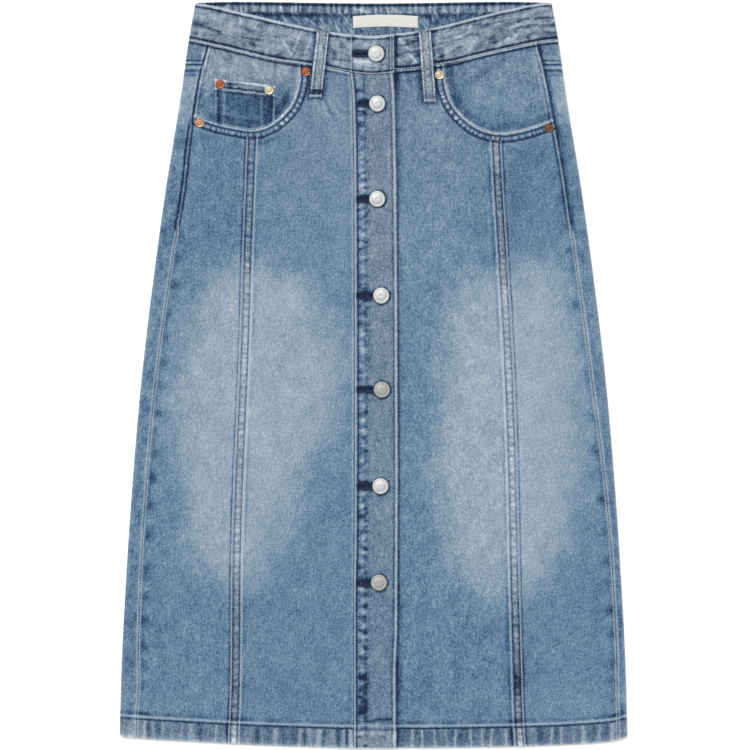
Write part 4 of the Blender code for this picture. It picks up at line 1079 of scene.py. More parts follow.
def signed_area(ring):
    """Above 0 where a ring's inside lies on its right, with the waist up."""
    x, drop = ring.T
    return np.sum(x * np.roll(drop, -1) - np.roll(x, -1) * drop) / 2


def add_object(name, mesh):
    made = bpy.data.objects.new(name, mesh)
    bpy.context.scene.collection.objects.link(made)
    return made


def add_piece(name, mesh, node=None):
    """A piece on the root body, in place of the node's solid where one is named."""
    piece = add_object(name, mesh)
    if node:
        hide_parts(node)
    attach(piece, "root")
    return piece


PATCHES = count(1)


def cloth_wall(node, rings, up, down, slot="denim"):
    """A closed wall of cloth for one node.

    rings are its outline and its holes. up and down are its two skins, each a tuple of points,
    a function that gives their heights or places, one that gives their wash and worn, and the
    distance that the points keep from the rings.
    """
    rings = [np.asarray(ring, float)[::-1 if signed_area(ring) > 0 else 1] for ring in rings]
    around = sum(len(ring) for ring in rings)
    patch, faces, base = next(PATCHES), [], 0
    fields = {"position": [], "flat": [], "wash": [], "worn": []}
    for points, skin, paint, margin in (up, down):
        flat, triangles = filled(rings, points, margin)
        x, drop = flat.T
        wash, worn = paint(x, drop)
        placed = skin(x, drop)
        x, drop, height = placed if isinstance(placed, tuple) else (x, drop, placed)
        roll = np.where(np.arange(len(flat)) < around, EDGE_ROLL, 0.0)
        if base == 0:
            height = height - roll
            pairs = np.concatenate([triangles[:, [0, 1]], triangles[:, [1, 2]], triangles[:, [2, 0]]])
            rim = ~np.isin(pairs @ (MOST_POINTS, 1), pairs @ (1, MOST_POINTS))
            faces += triangles.tolist()
            base = len(flat)
            faces += [[a + base, b + base, b, a] for a, b in pairs[rim].tolist()]
        else:  # rounded up a little, except where it lies on the ground
            height = height + roll * 0.6 * (height > 0.5)
            faces += (triangles[:, ::-1] + base).tolist()
        for label, values in (
                ("position", np.stack([x, LENGTH / 2 - drop, height], axis=1) * MM),
                ("flat", np.stack([*flat.T, np.full(len(flat), PATCH_SHIFT * patch)], axis=1)),
                ("wash", wash + 0 * x), ("worn", worn + 0 * x)):
            fields[label].append(values)
    mesh = bpy.data.meshes.new(f"cloth_{node}")
    mesh.from_pydata(np.concatenate(fields.pop("position")).tolist(), [], faces)
    mesh.validate()
    for label, values in fields.items():
        kind, key = ("FLOAT_VECTOR", "vector") if label == "flat" else ("FLOAT", "value")
        field = mesh.attributes.new(label, kind, "POINT")
        field.data.foreach_set(key, np.concatenate(values).astype(np.float32).ravel())
    mesh.materials.append(LOOKS[slot])
    mesh.shade_smooth()
    mesh.set_sharp_from_angle(angle=math.radians(55))
    piece = add_piece(f"cloth_{node}", mesh, node)
    area = (abs(signed_area(rings[0])) - sum(abs(signed_area(hole)) for hole in rings[1:])) * MM * MM


# Edges, as lines of places

def down(edge, start, end):
    """Places down an edge whose x is a function of drop."""
    drops = np.linspace(start, end, max(2, int(abs(end - start) / 4) + 2))
    return np.stack([edge(drops) + 0 * drops, drops], axis=1)


def across(edge, start, end, shift=0.0):
    """Places across an edge whose drop is a function of x."""
    places = np.linspace(start, end, max(2, int(abs(end - start) / 3) + 2))
    return np.stack([places, edge(places) + shift + 0 * places], axis=1)


def ring_of(*legs, step=EDGE_STEP):
    """One ring from legs that each start where the last one ends."""
    return np.concatenate([evenly(leg, step)[:-1] for leg in legs])


def polygon(corners, step=EDGE_STEP):
    return ring_of(*zip(corners, corners[1:] + corners[:1]), step=step)


def pocket_between(side, start, end):
    """The pocket edge between two places across, ends included."""
    line = pocket_edge[side]
    inner = line[(side * line[:, 0] > side * start + 0.4) & (side * line[:, 0] < side * end - 0.4)]
    return np.concatenate([[(start, pocket_drop(side, start))], inner,
                           [(end, pocket_drop(side, end))]])


# Distances of the rows of points that carry a seam's relief and wash
FELLED_ROWS = (-8.2, -6.9, -5.9, -5.1, -4.3, -3.4, -2.5, -1.2, 0, 1.2, 2.5, 3.4, 4.2, 6.0, 6.9, 8.2)
HEM_ROWS = (-9, -7, -5.2, -3.6, -2.4, -1.4, -0.5, 0.3, 0.9, 1.5, 2.4, 4, 6, 8, 10, 12, 14, 16,
            17.6, 18.8, 19.8)
POCKET_ROWS = (0.8, 1.7, 2.4, 3.0, 3.7, 4.6, 5.5, 6.4, 7.3, 8.1, 8.9, 9.7, 10.5, 11.3, 12.1, 13)
SIDE_ROWS = (-6, -4.8, -3.8, -3, -2.2, -1.4, -0.7, 0.7, 1.4, 2.2, 3.0, 3.8, 5)
WAIST_ROWS = (0.8, 1.6, 2.4, 3.2, 4.0, 5.2)
BESIDE_PLACKET = {LEFT: (0.9, 1.7, 2.5, 3.4, 4.4), RIGHT: (-3.6, -2.6, -1.8, -1, -0.4, 0.4, 1)}
FREE_EDGE_ROWS = (0.7, 1.5, 2.2, 2.8, 3.5, 4.3, 5, 5.8, 6.6, 8)
SEWN_EDGE_ROWS = (-0.8, -1.4, -2.2, -3.0, -3.8, -5, -6.4, -7.8, -9.2, -10.4, -11.4, -12.4, -13.4, -14.6)
SLOT_ROWS = (0.8, 1.7, 2.7, 3.8, 5, 6.3, 7.6)
WAIST_SLOT_ROWS = (-3.4, -2, -0.9, 0.9, 2, 3.4)
BAND_TOP_ROWS = (0.8, 1.6, 2.2, 2.9, 3.6, 4.6)
BAND_FOOT_ROWS = (0.8, 1.6, 2.6, 3.4, 4.4)
BAND_END_ROWS = (-5.8, -5, -4.2, -3.4, -2.6, -1.8, -1, 1, 1.8, 2.6, 3.4, 4.2, 5, 5.8)


def seam_rows(side):
    """Close rows of points along every seam of one half of the front."""
    waist = (-196, -18) if side == LEFT else (-30, 196)
    return kept_apart([
        rows_beside(down(lambda drop: side * felled_seam[side](drop), 126, 781), FELLED_ROWS, 1.3, -side),
        rows_beside(across(hem_drop, 0, side * 262, -HEM_DEPTH), HEM_ROWS, HEM_FINE_STEP, side),
        rows_beside(pocket_edge[side], POCKET_ROWS, HEM_FINE_STEP, side),
        rows_beside(down(partial(side_seam, side), 60, 779), SIDE_ROWS, turn=-side),
        rows_beside(across(waist_front_bottom[side], *waist), WAIST_ROWS),
        rows_beside(down(placket_left if side == LEFT else placket_right, 70, 782), BESIDE_PLACKET[side]),
    ])


SEAM_ROWS = {side: seam_rows(side) for side in (LEFT, RIGHT)}


def inner_paint(x, drop):
    """The wrong side, where the white weft shows more."""
    return 0.56 + 0.02 * noise(x / 9, drop / 14, 30), 0.3


# The front panels

def front_wall(name, side, ring):
    """A front panel. Its inner skin follows its creases and not its stitches."""
    def inner(x, drop):
        low = crease(x, drop, 0) * (1 - between(hem_gap(x, drop), -6, 40, 12))
        return front_level(side, x, drop) + np.minimum(low, 0) - panel_cloth(x, drop)

    def paint(x, drop):
        return front_wash(side, x, drop), front_worn(side, x, drop)

    cloth_wall(f"{name}_{NAMES[side]}", [ring],
               (with_net(SEAM_ROWS[side], ring), partial(panel_top, side), paint, 0.5),
               (net(ring, HIDDEN_STEP), inner, inner_paint, 5.0))


def make_front_centre(side):
    """From the placket to the felled seam, whose lap lies on this panel's edge."""
    def inner_edge(drop):
        return placket_left(drop) - SEAM_GAP if side == LEFT else STAND_EDGE + 0 * drop

    top_x = pocket_edge[side][2][0]
    waist = waist_front_bottom[side]
    start = inner_edge(waist(inner_edge(75.0)))
    lap_x, hem_end, inner_end = lap_edge(side, LAP_TOP), lap_edge(side, FOOT), inner_edge(FOOT)
    pocket = pocket_between(side, top_x, lap_x)
    pocket = pocket[pocket[:, 1] > waist(top_x) + SEAM_GAP + 1]
    front_wall("front_centre", side, ring_of(
        across(waist, start, top_x, SEAM_GAP),
        np.concatenate([[(top_x, waist(top_x) + SEAM_GAP)], pocket]),
        down(partial(lap_edge, side), pocket_drop(side, lap_x), hem_drop(hem_end)),
        across(hem_drop, hem_end, inner_end),
        down(inner_edge, hem_drop(inner_end), waist(start) + SEAM_GAP)))


def make_front_side(side):
    """From the felled seam to the side seam, under the pocket edge."""
    def inner_edge(drop):
        return lap_edge(side, drop) + side * SEAM_GAP

    def outer_edge(drop):
        return side_seam(side, drop) - side * SEAM_GAP

    pocket = pocket_between(side, inner_edge(LAP_TOP), outer_edge(POCKET_END))
    foot, inner_foot = hem_drop(outer_edge(SIDE_FOOT)), inner_edge(780.0)
    front_wall("front_side", side, ring_of(
        pocket, down(outer_edge, pocket[-1][1], foot), across(hem_drop, outer_edge(foot), inner_foot),
        down(inner_edge, hem_drop(inner_foot), pocket[0][1])))


# Placket

def placket_gaps(x, drop):
    """Distances in from the placket's sewn edge, its free edge and its hem's upper edge."""
    return x - placket_left(drop), placket_right(drop) - x, hem_gap(x, drop)


def placket_top(x, drop):
    """The buttonhole band's outer skin, roped where it is sewn on."""
    left, right, hem = placket_gaps(x, drop)
    rise = 0.24 * between(left, 4.5, 12.5, 2) * roping(drop, 9, 40)
    rise -= 0.25 * stripe(left, 2.8, 0.9) + 0.2 * stripe(right, 5.8, 0.9)
    rise += 0.2 * between(hem, 3, 17, 2) * roping(x, 8, 41) - 0.28 * stripe(hem, 0.6, 1.0)
    for _, hole_x, hole_drop in BUTTONS[1:]:
        off = abs(drop - hole_drop)
        rise += between(x, SLOT_START - 1, hole_x + 3, 2) * lines(off, (4, 2.2, 0.35), (0, 1.8, -0.3))
    return placket_level(x, drop) + rise


def under_button(x, drop, hole_x, hole_drop):
    """The shade that a button keeps round its foot."""
    ring = np.hypot(x - hole_x - 0.9, drop - hole_drop - 0.4)
    return 0.5 * between(ring, 5, BUTTON_RADIUS + 0.3, 1.2)


def placket_paint(x, drop):
    left, right, hem = placket_gaps(x, drop)
    value = 0.535 + clouds(x, drop, (0.03, 9, 38, 42), (0.02, 4, 11, 43))
    value += 0.02 * (1 - eased(drop, 200, 330)) - 0.05 * eased(drop, 400, 700)
    # Sewn edge: bright stitches, a dark groove, then a roped strip with a hollow beyond it
    low = 1.1 * eased(drop, 560, 640)
    chain = np.maximum(roping(drop + 3, 9.5, 49) + 0.1, 0)
    value += lines(left, (1.2 - low, 1.0, 0.30), (3.6 - low, 1.0, -0.48), (6.3, 1.2, -0.04),
                   (8.9, 3.6, 0.28 * roping(drop, 12.4, 40)), (8.6, 2.0, 0.05),
                   (12.2, 1.8, -0.34 * chain), (14.0, 2.6, -0.06))
    value += between(left, 4.8, 12.5, 1.6) * (
        0.01 + 0.16 * noise(x / 4.5, drop / 2.6, 44) + 0.11 * roping(drop + 0.5 * left, 7.6, 50)
        - 0.32 * flecks(x / 8, drop / 3.2, 48)
        - 0.24 * between(drop, 690, 745, 8) * (0.6 + 0.6 * roping(drop, 20, 47)))
    # Free edge: a pale row with a fine dark line inside it, and painted shadow on the edge itself
    value += lines(right, (2.3, 0.95, 0.40), (4.9, 0.9, -0.26), (-0.1, 0.9, -0.32))
    value += 0.05 * between(right, 7, 13, 2) * noise(x / 1.6, drop / 20, 45)
    # Hem
    value += lines(hem, (-1.8, 1.9, 0.20), (1.9, 1.0, -0.36))
    value -= 0.42 * stripe(hem + 1.5 * np.sin(x / 9), -7.6, 1.5) * between(left, 5, 38, 3)
    value += between(hem, 2, 40, 1) * (0.17 + 0.16 * noise(x / 5.5, hem / 12, 46))
    value -= 0.30 * (spot(x, drop, -10, 738, 5, 8) + spot(x, drop, -9, 716, 5, 7))
    # Round each buttonhole: painted shade where the button pulls the slot open round its navy stitching,
    # then the button's own painted shade
    for _, hole_x, hole_drop in BUTTONS[1:]:
        off = drop - hole_drop + 0.8 * np.sin(x / 2.2 + hole_drop)
        taper = 0.62 + 0.38 * eased(x, SLOT_START - 1, SLOT_START + 5)
        value += between(x, SLOT_START - 1.5, hole_x - 2, 1.5) * (
            np.where(off < 0, 0.02, 0.06) * stripe(abs(off), 8.4, 1.7) - 0.14 * stripe(off, 11.5, 1.6)
            - 0.46 * np.exp(-(off / 3.8 / taper) ** 4) - 0.20 * np.exp(-(off / 6.4 / taper) ** 4))
        value -= under_button(x, drop, hole_x, hole_drop)
    grey = 0.12 * (1 - eased(drop, 200, 700)) + 0.22
    return value, grey * (1 - 0.6 * between(left, 2.5, 13.5, 1.5)) + 0.3 * (hem > 1)


def make_placket():
    """The buttonhole band, laid over the button stand, with a slot for each button's post."""
    top = waist_front_bottom[LEFT]
    start, end, foot, free_foot = (edge(drop) for drop in (PLACKET_TOP, FOOT)
                                   for edge in (placket_left, placket_right))
    ring = ring_of(across(top, start, end, SEAM_GAP),
                   down(placket_right, top(end) + SEAM_GAP, hem_drop(free_foot)),
                   across(hem_drop, free_foot, foot),
                   down(placket_left, hem_drop(foot), top(start) + SEAM_GAP))
    holes = [slot_ring(SLOT_START, x, drop) for _, x, drop in BUTTONS[1:]]
    rows = [rows_beside(down(placket_left, 76, 780), SEWN_EDGE_ROWS),
            rows_beside(down(placket_right, 76, 780), FREE_EDGE_ROWS),
            rows_beside(across(hem_drop, -19, 24, -HEM_DEPTH), HEM_ROWS + (-11, -13)),
            rows_beside(across(top, -24, 20), WAIST_ROWS)]
    rows += [rows_both_sides(closed(hole), SLOT_ROWS) for hole in holes]
    cloth_wall("placket", [ring] + holes,
               (with_net(kept_apart(rows), ring, 2.2), placket_top, placket_paint, 0.5),
               (net(ring, 10.0), placket_under, inner_paint, 3.0))


def slot_ring(start, button_x, drop):
    """A buttonhole's edge, pointed at its far end."""
    end, tip, high = button_x + SLOT_PAST_BUTTON, start + 1, SLOT_HALF_HEIGHT
    return polygon([(start, drop - high / 2), (tip, drop - high), (end, drop - high), (end, drop + high),
                    (tip, drop + high), (start, drop + high / 2)], 1.2)


def closed(ring):
    return np.concatenate([ring, ring[:1]])


# Pieces that run round the folds

FOLD_PARTS = 12


def round_the_fold(side, behind, before, end, radius, start=0.0):
    """Places on an edge that runs from x = start behind, round the fold, to x = end in front."""
    fold_drop = behind(side * half_width(0.0))
    flat = flat_half(fold_drop, radius)
    line = [(x, behind(x)) for x in np.linspace(start, side * flat, 90)[:-1]]
    for part in range(FOLD_PARTS + 1):
        x = side * (flat + radius(fold_drop) * math.sin(math.pi * part / FOLD_PARTS))
        drop = mix(behind(x), before(x), part / FOLD_PARTS)
        turn = math.pi * radius(drop) * part / FOLD_PARTS
        line.append((side * (flat_half(drop, radius) + turn), drop))
    for x in np.linspace(side * flat, end, max(3, int(abs(flat * side - end) / 4)))[1:]:
        line.append((way_round(side, x, before(x), radius), before(x)))
    return np.array(line, float)


def hem_round(lifted):
    """Drop of the hem's edge by x, rounded off at the folds and lifted in the middle."""
    corner = 4.0

    def drop_at(x):
        inset = half_width(SIDE_FOOT) - abs(x)
        past = np.clip((corner - inset) / corner, 0.0, 1.0)
        return hem_drop(x) - lifted * eased(inset, 0, 60) - 3.4 * (1 - np.sqrt(1 - past * past))

    return drop_at


def back_wash(x, drop):
    """Hidden side: centre seam, yoke seam and hem, each sewn as in front."""
    hem = hem_gap(x, drop)
    value = 0.5 + clouds(x, drop, (0.02, 40, 55, 50), (0.02, 10, 15, 51))
    value += 0.10 * (1 - eased(np.hypot(abs(x) - 95, (drop - 215) * 0.8), 30, 110))
    for gap in (abs(x), abs(drop - yoke_seam(abs(x)))):
        value += lines(gap, (3.2, 1.2, 0.2), (1.4, 1.0, -0.3))
    value += lines(hem, (-1.4, 1.2, 0.22), (0.8, 1.2, -0.38))
    return value + between(hem, 2.2, 40) * 0.12 * roping(x, 7.5, 52), 0.3 * (hem > 1)


def fold_piece(name, side, top, foot, seam_parts, steps, seam_rows_of, depth, margin):
    """A piece that runs from the centre back round the fold to the side seam.

    top and foot are its edges in u and drop. steps are between the points of its ring, of the
    part that shows and of the rest. seam_rows_of gives the rows of points along its seams.
    """
    ring_step, near, far = steps
    drops = np.linspace(top[-1][1], foot[-1][1], seam_parts)
    seam = np.stack([way_round(side, side_seam(side, drops), drops, panel_radius), drops], axis=1)
    ends = np.concatenate([top[-1:], seam[1:-1], foot[-1:]])
    ring = ring_of(top, ends, foot[::-1], np.array([foot[0], top[0]]), step=ring_step)

    def near_fold(u, drop):
        return abs(u) > flat_half(drop, panel_radius) - 5

    def level(which, x, drop):
        return front_level(which, x, drop) + front_relief(side, x, drop) * (
            1 - fading(half_width(drop) - abs(x) - panel_radius(drop), 4))

    def paint(u, drop):
        """Front paint on the flap that shows, and the hidden side's own behind."""
        x, past = front_x(u, drop, panel_radius)
        shown = eased(past, -2, math.pi * panel_radius(drop) * 0.8)
        wash, worn = back_wash(x, drop)
        return mix(wash, front_wash(side, x, drop), shown), mix(worn, front_worn(side, x, drop), shown)

    rows = kept_apart(seam_rows_of(ring, seam, near_fold), 0.8)
    points = np.concatenate([with_net(rows, ring, near, near_fold),
                             net(ring, far, lambda u, drop: ~near_fold(u, drop))])
    cloth_wall(f"{name}_{NAMES[side]}", [ring],
               (net(ring, 24.0), wrapped(panel_radius, front_level, depth), inner_paint, 6.0),
               (points, wrapped(panel_radius, level, no_depth), paint, margin))


def make_back(side):
    """Below the yoke. Its side seam and hem show in front."""
    centre = side * SEAM_GAP / 2
    front_end, foot_end = side_seam(side, YOKE_FRONT_DROP), side_seam(side, SIDE_FOOT)

    def hem_line(x):
        return hem_drop(x) - HEM_DEPTH

    def rows(ring, seam, near_fold):
        hem = round_the_fold(side, hem_line, hem_line, foot_end, panel_radius, centre)
        return [rows_beside(hem, (-5, -2.6, -1.4, -0.4, 0.8, 2, 5, 9, 13, 17), 3.0),
                rows_beside(top, (1.6, 3.2, 4.6), 3.0, side),
                rows_beside(down(lambda drop: centre + 0 * drop, 120, 780), (1.4, 3.2), 3.0, -side),
                *(seam - (side * offset, 0) for offset in (0.8, 1.5, 2.2, 3.0, 3.8, 4.8, 6)),
                net(ring, 1.2, lambda u, drop: near_fold(u, drop) & (drop < 82))]

    top = round_the_fold(side, lambda x: yoke_seam(abs(x)) + SEAM_GAP,
                         lambda x: YOKE_FRONT_DROP + SEAM_GAP + 0 * x, front_end, panel_radius, centre)
    foot = round_the_fold(side, hem_round(1.2), hem_round(0.0), foot_end, panel_radius, centre)
    fold_piece("back", side, top, foot, 200, (2.4, 2.8, 8.0), rows, panel_cloth, 0.6)


def make_yoke(side):
    """Between the waistband and the back panel."""
    centre = side * SEAM_GAP / 2
    top = round_the_fold(side, lambda x: waist_back_bottom(x) + SEAM_GAP,
                         lambda x: waist_front_bottom[side](x) + SEAM_GAP,
                         side_seam(side, 46.0), panel_radius, centre)
    foot = round_the_fold(side, lambda x: yoke_seam(abs(x)), lambda x: YOKE_FRONT_DROP + 0 * x,
                          side_seam(side, YOKE_FRONT_DROP), panel_radius, centre)

    def rows(ring, seam, near_fold):
        return [rows_beside(top, WAIST_ROWS, turn=side), rows_beside(foot, WAIST_ROWS, turn=-side)]

    fold_piece("yoke", side, top, foot, 20, (1.8, 1.2, 6.0), rows, lambda x, drop: CLOTH + 0 * x, 0.5)


def no_depth(x, drop):
    return 0.0 * x


def band_level(side, x, drop):
    """The waistband's outer skin in front, dented by its rows of stitches."""
    top, foot = drop - waist_front_top[side](x), -waist_gap(side, x, drop)
    rise = 0.14 * noise((x + drop) / 9, (x - drop) / 16, 60) * between(top, 5, 30, 3)
    rise -= 0.22 * (stripe(top, 2.8, 0.9) + stripe(foot, 2.5, 0.9))
    rise += 0.1 * roping(x, 6, 61) * (stripe(top, 0.8, 1) + stripe(foot, 0.8, 1))
    return waist_level(side, x, drop) + rise


def band_wash(side, x, drop):
    """Rubbed grey, scratched and mottled, sewn along both edges, with painted shadow beside the belt loops.
    """
    top, foot, sag = drop - waist_front_top[side](x), -waist_gap(side, x, drop), foot_sag(x)
    if side == RIGHT:
        value = 0.616 + clouds(x, top, (0.18, 10, 3.1, 63), (0.08, 24, 7, 62), (0.05, 4.5, 4, 59))
        value += 0.20 * flecks((x + 1.2 * top) / 4.5, top / 5, 64) - 0.36 * flecks(x / 9, top / 2.6, 65)
        value += lines(top, (0.8, 1.35, 0.66), (3.3, 1.0, -0.62)) - 0.72 * stripe(foot, 3.2 - sag, 1.5)
    else:
        upper = 1 - eased(top, 11, 19)
        value = 0.648 + 0.05 * noise(x / 26, drop / 14, 62) + 0.08 * noise(x / 11, top / 3.4, 63)
        value += 0.06 * noise((x - 0.2 * top) / 5.2, top / 13, 64) * (1 + upper)
        value += 0.12 * flecks((x + 0.8 * top) / 1.9, top / 9, 69) * upper
        value -= 0.24 * flecks(x / 8.5, top / 2.8, 65)
        value += lines(top, (1.1, 1.35, 0.56), (3.9, 1.0, -0.62)) - 0.64 * stripe(foot, 3.2 - sag, 1.25)
    value += 0.54 * stripe(foot, -sag, 1.1) - 0.16 * flecks((x - 0.2 * foot) / 2.9, foot / 9, 66) * (
        1 - eased(foot, 8, 15))
    value += 0.08 * roping(x + 0.3 * top, 9, 67) * (1 - eased(top, 7, 16))
    value += 0.09 * roping(x - 0.3 * foot, 9, 68) * (1 - eased(foot, 6, 14))
    return value + marks(BAND_MARKS, x, drop) - loop_shade(side, x, drop)


def waist_outer_paint(u, drop):
    """The waistband's outer side, with its lapped end, its buttonhole and its button stand."""
    x, past = front_x(u, drop, waist_radius)
    value = np.where(u >= 0, band_wash(RIGHT, x, drop), band_wash(LEFT, x, drop))
    _, hole_x, hole_drop = BUTTONS[0]
    above = abs(drop - hole_drop)
    lapped = lines(WAIST_END - x, (1.0, 0.8, 0.30), (2.4, 0.7, -0.45), (3.7, 0.8, 0.26), (5.2, 0.8, -0.40))
    lapped += lines(x, (-23.5, 0.9, 0.24), (-21.6, 0.9, -0.3)) - under_button(x, drop, hole_x, hole_drop)
    # Round the buttonhole: painted shade where the slot opens round its navy stitching
    lapped += between(x, WAIST_SLOT_START - 1, hole_x, 1.5) * (
        0.20 * stripe(above, 8, 1.8) - 0.62 * np.exp(-(above / 4.0) ** 4))
    # On the button stand: painted shadow beside the lapped end, and painted shade under it
    stand = (u >= 0) & (past > 20)
    value += np.where((u < 0) & (past > 20), lapped, 0)
    value -= np.where(stand, 0.5 * stripe(x, WAIST_END + 1, 2.0), 0)
    value = np.where(stand & (x < WAIST_END - 2), 0.1, value)
    return value, 0.45 - 0.1 * between(abs(x), 20, 70, 12)


def waist_inner_paint(u, drop):
    """The inside of the back waistband, streaked above and darker below."""
    x = front_x(u, drop, waist_radius)[0]
    top = drop - waist_back_top(x)
    over = np.where(x < 0, waist_front_top[LEFT](x), waist_front_top[RIGHT](x)) - drop
    upper = 1 - eased(top, 9.5, 12)
    value = 0.33 + 0.05 * noise(x / 8, drop / 30, 70) + 1.4 * marks(INSIDE_MARKS, x, drop)
    value += upper * (0.205 + 0.22 * roping(x, 7.4, 71) + 0.22 * noise(x / 2.2, top / 9, 72))
    value += (1 - upper) * (
        clouds(x, top, (0.20, 2.6, 5, 73), (0.12, 6, 5, 74)) - 0.03 + 0.05 * eased(top, 15, 24)
        + 0.36 * flecks((x - 0.6 * top) / 1.7, top / 9, 75))
    # The last term is painted light along and under the front waistband's top edge, lifting the shadow that
    # band casts
    value += lines(top, (2.1, 1.5, -0.66), (13.2, 2.0, -0.16)) + 0.17 * fading(over, 3.5)
    return value, 0.15 * upper + 0.2


def make_waistband():
    """One folded strip round the waist, its left end lapped over its right one."""
    def whole(behind, before):
        left, right = (round_the_fold(side, behind, before[side], end, waist_radius)
                       for side, end in ((LEFT, WAIST_END), (RIGHT, WAIST_STAND_END)))
        return np.concatenate([left[::-1], right[1:]])

    top, foot = whole(waist_back_top, waist_front_top), whole(waist_back_bottom, waist_front_bottom)
    ends = [np.array([top[which], foot[which]]) for which in (0, -1)]
    ring = ring_of(top, ends[1], foot[::-1], ends[0][::-1])
    _, x, drop = BUTTONS[0]
    hole = slot_ring(WAIST_SLOT_START, x, drop)
    hole[:, 0] = way_round(LEFT, hole[:, 0], hole[:, 1], waist_radius)
    rows = kept_apart(
        [rows_both_sides(top, BAND_TOP_ROWS), rows_both_sides(foot, BAND_FOOT_ROWS),
         rows_beside(closed(hole), WAIST_SLOT_ROWS), *(rows_beside(end, BAND_END_ROWS) for end in ends)])

    def skin_points(step, shows):
        return np.concatenate([with_net(rows, ring, step, shows),
                               net(ring, 6.0, lambda u, drop: ~shows(u, drop))])

    def in_front(u, drop):
        return abs(u) > flat_half(drop, waist_radius) - 3

    def behind(u, drop):
        return abs(u) < flat_half(drop, waist_radius) + 12

    cloth_wall("waistband", [ring, hole],
               (skin_points(1.0, behind),
                wrapped(waist_radius, waist_level, lambda x, drop: DOUBLE_CLOTH + 0 * x),
                waist_inner_paint, 0.5),
               (skin_points(0.85, in_front), wrapped(waist_radius, band_level, no_depth),
                waist_outer_paint, 0.5))


# Pockets

def facing_paint(side, x, drop):
    """Darker where the pocket's edge shaded it, greyer near the waistband."""
    gap, along = pocket_gap(side, x, drop)
    waist, seam, sag = waist_gap(side, x, drop), seam_gap(side, x, drop), foot_sag(x)
    if side == LEFT:
        value = mix(0.655, 0.36, eased(drop, 72, 108)) + 0.10 * noise(x / 3.4, drop / 4, 82)
        value += 0.03 * noise(x / 12, drop / 12, 80)
        value += 0.13 * (1 - eased(x, -173, -162)) * eased(drop, 90, 112)
        value += lines(x, (-103.4, 0.8, -0.14 * (drop < 92)), (-96, 5, 0.07))
        value += lines(seam, (-2.2, 0.9, 0.26), (0.1, 0.9, -0.54), (-4.3, 1.0, -0.16))
        value += 0.32 * stripe(gap, -1.3, 1.0)
        shade = (0.20 * eased(x, -180, -160) + 0.10 * between(x, -175, -108, 6)) * (1 - eased(x, -94, -86))
    else:
        value = 0.555 + clouds(x, drop, (0.03, 12, 12, 81), (0.06, 3.4, 4, 83))
        value -= 0.07 * eased(gap, -34, -8) + 0.14 * spot(x, drop, 91, 104, 9, 9)
        value -= 0.14 * stripe(beside(((96, 87), (120, 72), (139, 60)), x, drop)[0], 0, 3.5)
        value += lines(seam, (-1.4, 0.9, 0.28), (-3.9, 1.0, -0.14), (-5.6, 1.2, 0.16))
        value += lines(gap, (-0.5, 1.2, 0.46), (-1.7, 0.9, 0.12))
        shade = 0.10
    value -= shade * between(gap, -8, -1.6, 3) * (1.2 + 0.7 * noise(along / 18, 2, 84))
    # The last term is painted shadow of the waistband, fading down the facing
    value += lines(waist, (sag, 1.1, 0.54), (2.4 + sag, 1.2, -0.60)) - 0.08 * fading(waist, 6)
    return value, (0.3 if side == LEFT else 0.15) * (1 - 0.8 * eased(drop, 78, 100))


def make_pocket_facing(side):
    """Denim inside the scoop pocket, under the front panels and level with the side seam."""
    def outer_edge(drop):
        return side_seam(side, drop) - side * SEAM_GAP

    def top(x, drop):
        return (facing_level(side, x, drop) - 0.2 * stripe(waist_gap(side, x, drop), 3.2, 1.0)
                - 0.2 * stripe(seam_gap(side, x, drop), -3.0, 0.9))

    waist = waist_front_bottom[side]
    inner = side * FACING_INNER_EDGE
    outer, low_end = (outer_edge(drop) for drop in FACING_CORNERS)
    low_corner = (low_end, facing_lower(abs(low_end)))
    side_leg = down(outer_edge, waist(outer) + 3, low_corner[1])[:-1]
    ring = ring_of(across(waist, inner, outer, SEAM_GAP),
                   np.concatenate([[(outer, waist(outer) + SEAM_GAP)], side_leg, [low_corner]]),
                   across(lambda x: facing_lower(abs(x)), low_end, inner),
                   [(inner, facing_lower(FACING_INNER_EDGE)), (inner, waist(inner) + SEAM_GAP)])
    rows = kept_apart([
        rows_beside(across(waist, inner, outer), WAIST_ROWS, turn=side),
        rows_beside(down(partial(side_seam, side), 48, 150), SIDE_ROWS, turn=-side),
        rows_beside(pocket_edge[side], (0.8, 2, 3.4, 5), turn=-side)], 0.6)
    cloth_wall(f"pocket_facing_{NAMES[side]}", [ring],
               (with_net(rows, ring, 2.2), top, partial(facing_paint, side), 0.5),
               (net(ring, 9.0), lambda x, drop: facing_level(side, x, drop) - CLOTH, inner_paint, 4.0),
               "denim_pocket")


def coin_mouth(x, drop):
    """Distance below the coin pocket's mouth."""
    return drop - np.interp(x, *zip(*COIN_POCKET[:3]))


